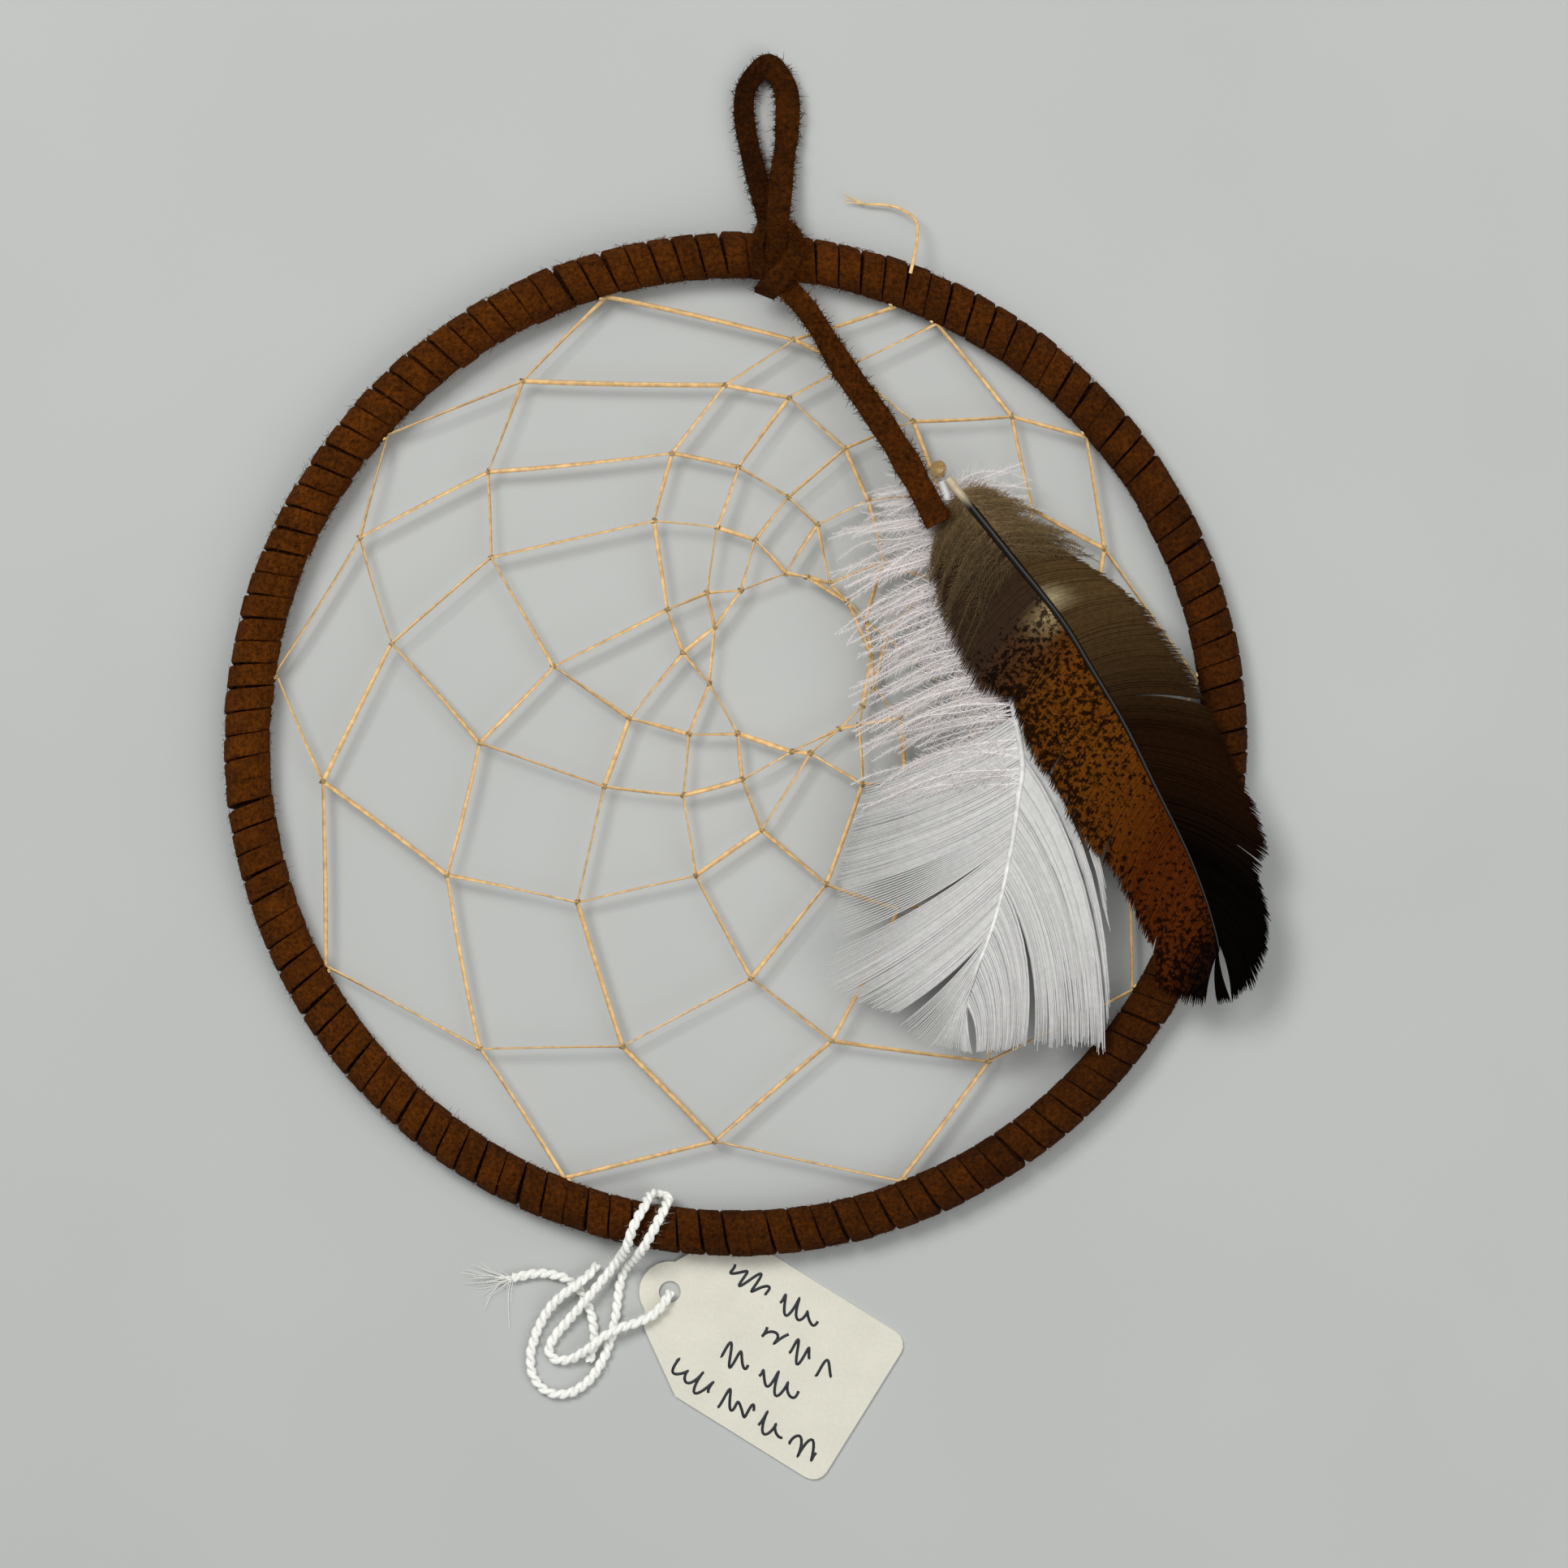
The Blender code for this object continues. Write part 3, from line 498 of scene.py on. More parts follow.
def cotton():
    """Two-ply bleached cotton string: matt white, with short loose fibres and greyer grooves."""
    material, tree, shader = new_material("cotton_string", roughness=0.9, sheen_weight=0.2,
                                          sheen_roughness=0.5, specular_ior_level=0.2)
    tint = add(tree, "ShaderNodeAttribute", attribute_name="tint").outputs["Color"]
    fibre = object_noise(tree, 0.00022, detail=4, roughness=0.65)
    tree.links.new(times(tree, tint, spread(tree, fibre, 0.3, 0.7, 0.85, 1.1)), shader.inputs["Base Color"])
    bumped(tree, shader, fibre, 0.0001, 0.7)
    return material


def tag_card():
    """Uncoated cream card, punched from a sheet: matt, with faint pulp clouds and a fine fibre tooth."""
    material, tree, shader = new_material("cream_card", roughness=0.72, specular_ior_level=0.35)
    cloud = object_noise(tree, 0.006, detail=4)
    pulp = object_noise(tree, 0.0003, detail=3)
    cream = add(tree, "ShaderNodeRGB")
    cream.outputs[0].default_value = (*linear("#d8d5c6"), 1)
    colour = times(tree, cream.outputs[0], spread(tree, cloud, 0.3, 0.7, 0.96, 1.03))
    colour = times(tree, colour, spread(tree, pulp, 0.2, 0.8, 0.94, 1.04))
    tree.links.new(colour, shader.inputs["Base Color"])
    bumped(tree, shader, pulp, 0.00003, 0.5)
    return material


def pen_ink():
    """Felt-pen ink soaked into card: nearly black, a little glossy where it dried thick."""
    material, tree, shader = new_material("pen_ink", roughness=0.5, specular_ior_level=0.4)
    flow = object_noise(tree, 0.0012, detail=3)
    ink = add(tree, "ShaderNodeRGB")
    ink.outputs[0].default_value = (*linear("#14161c"), 1)
    tree.links.new(times(tree, ink.outputs[0], spread(tree, flow, 0.3, 0.7, 0.6, 2.0)),
                   shader.inputs["Base Color"])
    return material


def glue():
    """A bead of hide-coloured glue over tied thread: amber, clear and glassy."""
    material, tree, shader = new_material("amber_glue", roughness=0.08, transmission_weight=0.55,
                                          ior=1.5, coat_weight=0.5, coat_roughness=0.05)
    cloud = object_noise(tree, 0.0007, detail=3)
    amber = add(tree, "ShaderNodeMix",
                {0: cloud, 6: (*linear("#a87a2c"), 1), 7: (*linear("#e6c98a"), 1)},
                data_type="RGBA").outputs[2]
    tree.links.new(amber, shader.inputs["Base Color"])
    bumped(tree, shader, cloud, 0.0001, 0.4)
    return material


def steel_wire():
    """Mild steel wire, drawn: grey with fine drawing lines."""
    material, tree, shader = new_material("drawn_steel_wire", metallic=1.0, roughness=0.35)
    line = object_noise(tree, 0.0008, detail=2)
    grey = add(tree, "ShaderNodeMix", {0: line, 6: (*linear("#6f7174"), 1), 7: (*linear("#a4a6a8"), 1)},
               data_type="RGBA").outputs[2]
    tree.links.new(grey, shader.inputs["Base Color"])
    return material


def studio_floor():
    """A plain matt studio sheet."""
    material, tree, shader = new_material("studio_sheet", roughness=0.9, specular_ior_level=0.2)
    haze = object_noise(tree, 0.05, detail=2)
    grey = add(tree, "ShaderNodeRGB")
    grey.outputs[0].default_value = (*linear(settings_of("stage").floor_colour_hex), 1)
    tree.links.new(times(tree, grey.outputs[0], spread(tree, haze, 0.3, 0.7, 0.98, 1.02)),
                   shader.inputs["Base Color"])
    return material


# Shapes that pieces share.


def lace_up(points):
    """A lace's upright direction: away from the hoop's tube beside it, and straight up elsewhere."""
    flat = points - np.array(HOOP)
    out = flat[:, :2] / np.linalg.norm(flat[:, :2], axis=1, keepdims=True)
    middle = np.concatenate([out * RING_RADIUS, np.full((len(points), 1), TUBE_HEIGHT)], axis=1)
    away = flat * [1, 1, 0] + points * [0, 0, 1] - middle
    distance = np.linalg.norm(away, axis=1, keepdims=True)
    share = np.clip((distance - LEANS_WITHIN) / LEANS_OVER, 0, 1)
    up = away / distance * (1 - share) + UPRIGHT * share
    return up / np.linalg.norm(up, axis=1, keepdims=True)


def nap(points, half_widths, thickness, up, tint, rng, per_mm, length=0.0007, edges=0.4):
    """Short loose fibres on a lace: a share of them along its cut edges, and the rest lying on its face."""
    run = directions(points)
    side = np.cross(up, run)
    side /= np.linalg.norm(side, axis=1, keepdims=True)
    size = np.linalg.norm(np.diff(points, axis=0), axis=1).sum()
    tint = np.broadcast_to(tint, (len(points), 3))
    lines = []
    for _ in range(int(size / MM * per_mm)):
        i = rng.integers(1, len(points) - 1)
        across = rng.choice([-1, 1]) if rng.random() < edges else rng.uniform(-1, 1)
        lift = 0.5 if abs(across) < 1 else rng.uniform(-0.5, 0.5)
        root = points[i] + side[i] * across * half_widths[i] * 0.97 + up[i] * thickness * lift
        root = root + run[i] * rng.uniform(-0.5, 0.5) * MM
        flat = 0.25 if abs(across) < 1 else 1.0
        lean = side[i] * rng.uniform(-1, 1) * (1 - flat) + side[i] * across * rng.uniform(0.4, 1.2) * flat
        lean = lean + up[i] * rng.uniform(0.05, 0.8) * flat + run[i] * rng.uniform(-1.1, 1.1)
        lean /= np.linalg.norm(lean)
        bend = rng.normal(0, 0.35, 3) * (1, 1, 0.3)
        long = length * rng.uniform(0.4, 1.3)
        path = np.array([root, root + (lean + bend * 0.3) * long * 0.5, root + (lean + bend) * long])
        lines.append((path, np.array(LACE_FIBRE) * MM, up[i], tint[i] * rng.uniform(0.9, 2.4)))
    return lines


def route_m(route, count, height=0.0):
    """A route in millimetres from the hoop's middle as even points in the frame."""
    return np.array([at(p, height) for p in even(route, count)])


def suede_lace(name, route, widths, thickness, count, tint, seed, material, waviness=0.04):
    """A flat lace cut from suede, as a surface and the fibres along its edges."""
    rng = np.random.default_rng(seed)
    points = route_m(route, count)
    up = lace_up(points)
    half = np.interp(np.linspace(0, 1, count), np.linspace(0, 1, len(widths)), widths) * MM / 2
    half = half * (1 + waviness * np.interp(np.linspace(0, 1, count), np.linspace(0, 1, 14),
                                            rng.normal(0, 1, 14)))
    body = strands(name, [(points, half, up, tint)], material, boxy=True,
                   flatness=thickness / np.mean(half * 2))
    fuzz = strands(name + "_nap", nap(points, half, thickness, up, tint, rng, SUEDE_FIBRES_PER_MM),
                   material, sides=3,
                   capped=False)
    return joined(name, [body, fuzz]), points


# The pieces.


def settings_of(name):
    """The scene's settings for one group of pieces."""
    return getattr(bpy.context.scene, "dream_catcher_" + name)


class HoopSettings(bpy.types.PropertyGroup):
    turns: IntProperty(name="Turns", description="Turns of suede lace round the whole hoop",
                       default=132, min=20, max=400)
    lace_thickness: FloatProperty(name="Lace thickness", description="Thickness of the suede lace",
                                  default=0.0011, unit="LENGTH")
    suede_hex: StringProperty(name="Suede", description="The suede's colour in sRGB", default="#4b2503")
    nap_fibres: IntProperty(name="Nap fibres", description="Loose fibres standing on the wound lace",
                            default=15000, min=0)


class WebSettings(bpy.types.PropertyGroup):
    thread_width: FloatProperty(name="Thread width", description="Width of the flat sinew thread",
                                default=0.00056, unit="LENGTH")
    thread_flatness: FloatProperty(name="Thread flatness",
                                   description="Thickness of the thread as a share of its width",
                                   default=0.45)
    thread_hex: StringProperty(name="Sinew", description="The thread's colour in sRGB", default="#dcb478")


class FeatherSettings(bpy.types.PropertyGroup):
    barbs: IntProperty(name="Barbs", description="Barbs on each side of a feather's quill", default=430,
                       min=20)
    barb_width: FloatProperty(name="Barb width",
                              description="Width of one barb where it leaves the quill",
                              default=0.00031, unit="LENGTH")
    white_hex: StringProperty(name="White", description="The white feather's colour in sRGB",
                              default="#cdccc9")
    down_barbs: IntProperty(name="Down barbs",
                            description="Soft barbs on each side near the quill's root", default=150, min=5)


class TagSettings(bpy.types.PropertyGroup):
    ply_radius: FloatProperty(name="Ply radius", description="Radius of one of the string's two plies",
                              default=0.00036, unit="LENGTH")
    twist: FloatProperty(name="Twist", description="Length of one full twist of the string",
                         default=0.0026, unit="LENGTH")
    pen_width: FloatProperty(name="Pen width", description="Width of a pen line", default=0.00042,
                             unit="LENGTH")


class StageSettings(bpy.types.PropertyGroup):
    camera_height: FloatProperty(name="Camera height", description="The camera's height over the floor",
                                 default=0.7, unit="LENGTH")
    frame_width: FloatProperty(name="Frame width",
                               description="Width of the floor that the camera sees", default=0.1984,
                               unit="LENGTH")
    floor_colour_hex: StringProperty(name="Floor", description="The floor's colour in sRGB",
                                     default="#b7b9b6")
    key_power: FloatProperty(name="Key light", description="Power of the large soft light", default=5.2,
                             unit="POWER")


class DREAMCATCHER_OT_stage(bpy.types.Operator):
    """Lays the floor and sets the lights and the camera"""

    bl_idname = "dream_catcher.stage"
    bl_label = "Stage"

    def execute(self, context):
        made = settings_of("stage")
        bpy.ops.mesh.primitive_plane_add(size=3, location=(0, 0, 0))
        floor = context.object
        floor.name = "floor"
        floor.data.materials.append(studio_floor())
        camera = bpy.data.objects.new("camera", bpy.data.cameras.new("camera"))
        camera.location = (VIEW_MIDDLE.x, VIEW_MIDDLE.y, made.camera_height)
        camera.data.sensor_width = SENSOR_WIDTH
        camera.data.lens = SENSOR_WIDTH * (made.camera_height - PIECE_HEIGHT) / made.frame_width
        camera.data.clip_start = 0.01
        context.scene.collection.objects.link(camera)
        context.scene.camera = camera
        context.scene.view_settings.view_transform = "Standard"
        for name, place, size, power in (
            ("key_light", (-0.34, 0.36, 0.80), 0.34, made.key_power),
            ("fill_light", (0.50, -0.30, 0.60), 0.6, made.key_power * 0.45),
            ("top_light", (0.10, 0.25, 0.80), 0.7, made.key_power * 0.35),
        ):
            light = bpy.data.objects.new(name, bpy.data.lights.new(name, "AREA"))
            light.data.size = size
            light.data.energy = power
            light.location = place
            light.rotation_euler = (VIEW_MIDDLE - Vector(place)).to_track_quat("-Z", "Y").to_euler()
            context.scene.collection.objects.link(light)
        world = context.scene.world or bpy.data.worlds.new("studio")
        context.scene.world = world
        world.use_nodes = True
        world.node_tree.nodes["Background"].inputs["Color"].default_value = (*linear("#f2f4f7"), 1)
        world.node_tree.nodes["Background"].inputs["Strength"].default_value = 0.24
        return {"FINISHED"}


class DREAMCATCHER_OT_string(bpy.types.Operator):
    """Twists the tag's cotton string, with its frayed end"""

    bl_idname = "dream_catcher.string"
    bl_label = "Tag string"

    def execute(self, context):
        made = settings_of("tag")
        material = cotton()
        rng = np.random.default_rng(5)
        white = np.array(linear("#fbfbf4"))
        path = route_m(STRING_ROUTE, 420)
        end_path = route_m(STRING_END_ROUTE, 90)
        string = self.twisted("string_two_ply", path, made, white, rng, material)
        end = self.twisted("string_loose_end", end_path, made, white, rng, material)
        fray = []
        root, away = end_path[0], directions(end_path)[0] * -1
        for _ in range(FRAYED_FIBRES):
            spread_out = away + rng.normal(0, 0.33, 3) * [1, 1, 0.25]
            long = rng.uniform(1.6, 4.6) * MM
            bend = rng.normal(0, 0.35, 3) * [1, 1, 0.2]
            steps = np.linspace(0, 1, 7)[:, None]
            start = root + rng.normal(0, 0.22, 3) * MM * [1, 1, 0.4]
            line = start + spread_out * long * steps + bend * long * steps**2
            line[:, 2] = np.clip(line[:, 2], 0.0001, 0.0016)
            fray.append((line, np.linspace(0.055, 0.02, 7) * MM, (0, 0, 1), white * rng.uniform(0.8, 1.1)))
        tuft = strands("string_frayed_tuft", fray, material, sides=4)
        show(string, "string", "cotton", "tag_string")
        show(end, "string", "cotton", "tag_string_end")
        show(tuft, "string", "cotton")
        return {"FINISHED"}

    def twisted(self, name, path, made, white, rng, material):
        """Two plies twisted round a path, and the short fibres that stand off them."""
        run = directions(path)
        side = np.cross(run, [0, 0, 1.0])
        side /= np.linalg.norm(side, axis=1, keepdims=True) + 1e-9
        over = np.cross(side, run)
        gone = np.concatenate([[0], np.cumsum(np.linalg.norm(np.diff(path, axis=0), axis=1))])
        lines = []
        for ply in range(2):
            turn = gone / made.twist * math.tau + ply * math.pi
            offset = PLY_OFFSET * (np.cos(turn)[:, None] * side + np.sin(turn)[:, None] * over)
            reach = made.ply_radius * (1 + 0.08 * np.sin(gone / 0.0031 + ply * 2))
            lines.append((path + offset, reach, over, white))
        body = strands(name, lines, material, sides=10)
        fuzz = []
        for _ in range(int(gone[-1] / MM * COTTON_FIBRES_PER_MM)):
            i = rng.integers(1, len(path) - 1)
            around = rng.uniform(0, math.tau)
            out = math.cos(around) * side[i] + math.sin(around) * over[i]
            root = path[i] + out * STRING_SURFACE
            lean = out * rng.uniform(0.2, 1) + run[i] * rng.uniform(-1, 1)
            long = rng.uniform(0.3, 1.1) * MM
            bend = rng.normal(0, 0.5, 3)
            line = np.array([root, root + lean * long * 0.5 + bend * long * 0.1,
                             root + lean * long + bend * long * 0.5])
            line[:, 2] = np.maximum(line[:, 2], 0.00005)
            fuzz.append((line, np.array(COTTON_FIBRE) * MM, out, white))
        return joined(name, [body, strands(name + "_fuzz", fuzz, material, sides=3, capped=False)])


class DREAMCATCHER_OT_laces(bpy.types.Operator):
    """Ties the suede loop, the knot over the hoop and the lace that carries the feathers"""

    bl_idname = "dream_catcher.laces"
    bl_label = "Laces and knot"

    def execute(self, context):
        hoop = settings_of("hoop")
        material = MATERIALS["suede"]
        # Painted shade: the laces are the winding's suede drawn darker, the loop darker on its first strand
        # than on its second, and the knot's turn and strap darker copies, shaded copies of one suede.
        tan = np.array(linear(hoop.suede_hex)) * 0.82
        count = 150
        loop_painted_shade = np.interp(np.linspace(0, 1, count), [0, 0.3, 0.45, 0.55, 1],
                                  [0.5, 0.5, 0.55, 0.78, 0.8])[:, None] * tan
        loop, loop_path = self.lace("loop_lace", LOOP_ROUTE, LOOP_WIDTHS, count, loop_painted_shade, 11,
                                    material)
        show(loop, "loop", "suede", "hanger_loop")
        left, _ = self.lace("knot_turn", KNOT_LEFT, KNOT_LEFT_WIDTHS, 60, tan * 0.75, 12, material)
        show(left, "hoop", "suede", "knot_band")
        cross, _ = self.lace("knot_strap", KNOT_CROSS, KNOT_CROSS_WIDTHS, 80, tan * 0.85, 13, material)
        show(cross, "hoop", "suede", "knot_cross_strap")
        pendant, path = self.lace("feather_lace", PENDANT_ROUTE, PENDANT_WIDTHS, 120, tan, 14, material)
        show(pendant, "pendant", "suede", "pendant_lace")
        return {"FINISHED"}

    def lace(self, name, route, widths, count, tint, seed, material):
        """A suede lace as thick as the hoop's, and its path."""
        return suede_lace(name, route, widths, settings_of("hoop").lace_thickness, count, tint, seed,
                          material)


class DREAMCATCHER_OT_hoop(bpy.types.Operator):
    """Winds suede lace round the wire hoop"""

    bl_idname = "dream_catcher.hoop"
    bl_label = "Wound hoop"

    def execute(self, context):
        made = settings_of("hoop")
        material = MATERIALS["suede"]
        rng = np.random.default_rng(3)
        per_turn = 26
        count = made.turns * per_turn + 1
        turn = np.linspace(0, made.turns, count)
        slots = np.arange(made.turns + 1)

        def smooth(spread_by):
            """A value for each turn of the lace, drawn at random, that runs smoothly into the next one's."""
            return np.interp(turn, slots, rng.normal(0, spread_by, made.turns + 1))

        pitch = math.tau * RING_RADIUS / made.turns
        along = math.radians(88) + math.tau * (turn + smooth(0.035)) / made.turns
        around = -math.tau * turn
        radius = TUBE_RADIUS - made.lace_thickness / 2 + smooth(0.00006)
        # The winding is roughest at the upper left.
        radius = radius + rng.normal(0, 0.00005, count) * (1 + np.cos(along - math.radians(140)))
        out = np.stack([np.cos(along), np.sin(along), np.zeros(count)], axis=1)
        up = np.cos(around)[:, None] * out + np.sin(around)[:, None] * UPRIGHT
        points = np.array(HOOP) + out * RING_RADIUS + np.array([0, 0, TUBE_HEIGHT]) + up * radius[:, None]
        half = pitch / 2 * (0.90 + smooth(0.02))
        # Painted light and shade: the winding is coloured lighter at the upper left and darker towards the
        # bottom of the hoop, as the light falls, with a random tone for each turn.
        shade = 0.97 + 0.28 * np.cos(along - math.radians(155)) + smooth(0.10)
        tint = np.array(linear(made.suede_hex)) * shade[:, None]
        body = strands("hoop_winding", [(points, half, up, tint)], material, boxy=True,
                       flatness=made.lace_thickness / pitch)
        # Painted shade: a dark tube, the suede's colour darkened, lies under the winding and fills the gaps
        # between the turns, where the real gaps are only in shade.
        ring = np.linspace(0, math.tau, 181)
        circle = np.stack([np.cos(ring), np.sin(ring), np.full(181, TUBE_HEIGHT / RING_RADIUS)], axis=1)
        under = np.array(HOOP) + RING_RADIUS * circle
        dark = np.array(linear(made.suede_hex)) * 0.3
        gap_shade_tube = strands("hoop_gap_shade", [(under, GAP_SHADE_RADIUS, (0, 0, 1), dark)], material, sides=16,
                        capped=False)
        fibres = []
        for _ in range(made.nap_fibres):
            where, side = rng.uniform(0, math.tau), rng.uniform(0, math.tau)
            way = np.array([math.cos(where), math.sin(where), 0])
            outward = math.cos(side) * way + math.sin(side) * UPRIGHT
            root = np.array(HOOP) + way * RING_RADIUS + np.array([0, 0, TUBE_HEIGHT])
            root = root + outward * TUBE_RADIUS * 0.985
            # Fibres are longer at the upper left, and their colour below is painted lighter there and darker
            # at the lower right, following the winding's painted light.
            rough_and_lit = 0.75 + 0.45 * math.cos(where - math.radians(145))
            lean = outward * rng.uniform(0.05, 0.9) ** 2 + np.cross(outward, way) * rng.uniform(-0.6, 0.6)
            lean = lean + np.array([-way[1], way[0], 0]) * rng.uniform(-1, 1)
            long = rng.uniform(0.2, 0.85) * rough_and_lit * MM
            line = np.array([root, root + lean * long * 0.6,
                             root + lean * long + rng.normal(0, 0.3, 3) * long])
            line[:, 2] = np.maximum(line[:, 2], 0)
            colour = np.array(linear(made.suede_hex)) * rng.uniform(0.9, 2.3) * (0.5 + rough_and_lit / 2)
            fibres.append((line, np.array(HOOP_FIBRE) * MM, outward, colour))
        fuzz = strands("hoop_nap", fibres, material, sides=3, capped=False)
        show(joined("hoop_winding", [body, gap_shade_tube]), "hoop", "suede", "hoop_wrap")
        show(fuzz, "hoop", "suede")
        core = bpy.data.objects["ring_core"]
        core.data.materials.clear()
        core.data.materials.append(steel_wire())
        return {"FINISHED"}


class DREAMCATCHER_OT_web(bpy.types.Operator):
    """Weaves the sinew web, each hitch on the span two places back"""

    bl_idname = "dream_catcher.web"
    bl_label = "Sinew web"

    def execute(self, context):
        made = settings_of("web")
        material = sinew()
        rng = np.random.default_rng(8)
        honey = np.array(linear(made.thread_hex))
        hitches = [np.array(at(p, TUBE_HEIGHT / MM)) for one_round in WEB_ROUTE for p in one_round]
        for k in range(THREADS_PER_ROUND):
            flat = (hitches[k] - np.array(HOOP))[:2]
            inner = flat / np.linalg.norm(flat) * HOOP_HITCH_RADIUS
            hitches[k] = np.array(HOOP) + np.append(inner, TUBE_HEIGHT)
        lines = []
        for j in range(len(hitches) - 1):
            ends = [hitches[j], hitches[j + 1]]
            if j + THREADS_PER_ROUND < len(hitches):
                ends.insert(1, hitches[j + THREADS_PER_ROUND])
            for a, b in zip(ends, ends[1:]):
                steps = np.linspace(0, 1, 10)[:, None]
                length = np.linalg.norm(b - a)
                drift = rng.normal(0, 0.0055, 3) * length * [1, 1, 0.6]
                line = a + (b - a) * steps + drift * 4 * steps * (1 - steps)
                line[:, 2] += rng.normal(0, 0.08) * MM
                twist = rng.uniform(0, math.pi) + np.linspace(0, rng.uniform(-1.6, 1.6), 10)
                run = (b - a) / length
                flat_way = np.cross(run, [0, 0, 1.0])
                up = np.cos(twist)[:, None] * UPRIGHT + np.sin(twist)[:, None] * flat_way
                half = made.thread_width / 2 * rng.uniform(0.85, 1.15)
                lines.append((line, half, up, honey * rng.uniform(0.85, 1.12)))
        knots = []
        for k in range(THREADS_PER_ROUND, len(hitches)):
            knots += self.hitch(hitches[k], rng, honey, made)
        for k in range(THREADS_PER_ROUND):
            knots.append(self.hoop_turn(hitches[k], rng, honey, made))
        thread = strands("sinew_web", lines + knots, material, sides=8, flatness=made.thread_flatness)
        show(thread, "hoop", "sinew", "web_thread")
        tail = route_m(TAIL_ROUTE, 40)
        tails = [(tail, np.linspace(0.26, 0.18, 40) * MM, (0, 0, 1), honey * 1.1)]
        for k in range(3):
            fan = tail[-1] + np.cumsum(np.tile([-0.55, 0.06 + 0.11 * k, -0.02], (8, 1)), axis=0) * MM * 0.6
            fan[:, 2] = np.maximum(fan[:, 2], 0.0002)
            tails.append((np.concatenate([tail[-3:], fan]), np.linspace(0.12, 0.05, 11) * MM, (0, 0, 1),
                          honey * 1.15))
        show(strands("sinew_tail", tails, material, sides=6, flatness=0.5), "hoop", "sinew", "thread_tail")
        return {"FINISHED"}

    def hitch(self, place, rng, honey, made):
        """The small half hitch where one thread turns round another."""
        lines = []
        tilt = rng.uniform(0, math.pi)
        for ring in range(2):
            turn = np.linspace(0, math.tau * 0.95, 11) + rng.uniform(0, 3)
            wide = np.array([math.cos(tilt + ring * 1.1), math.sin(tilt + ring * 1.1), 0])
            upright = np.sin(turn)[:, None] * UPRIGHT * 0.8
            loop = place + HITCH_RADIUS * (np.cos(turn)[:, None] * wide + upright)
            loop += np.cross(wide, [0, 0, 1.0]) * np.linspace(-0.00012, 0.00022, 11)[:, None]
            lines.append((loop, made.thread_width * 0.33, (0, 0, 1), honey * rng.uniform(0.42, 0.62)))
        return lines

    def hoop_turn(self, place, rng, honey, made):
        """The thread round the wound hoop, seen on its inner side and lost between the lace's turns above."""
        flat = place - np.array(HOOP)
        way = np.append(flat[:2] / np.linalg.norm(flat[:2]), 0)
        along = np.array([-way[1], way[0], 0])
        turn = np.linspace(math.pi + 1.3, math.pi - 0.25, 40)
        line = np.array(HOOP) + way * RING_RADIUS + np.array([0, 0, TUBE_HEIGHT])
        reach = TUBE_RADIUS + 0.00012
        line = line + reach * (np.cos(turn)[:, None] * way + np.sin(turn)[:, None] * UPRIGHT)
        line = line + along * np.linspace(-0.0004, 0.0007, 40)[:, None]
        line[:, 2] = np.maximum(line[:, 2], 0.0001)
        return (line, made.thread_width / 2, way, honey)


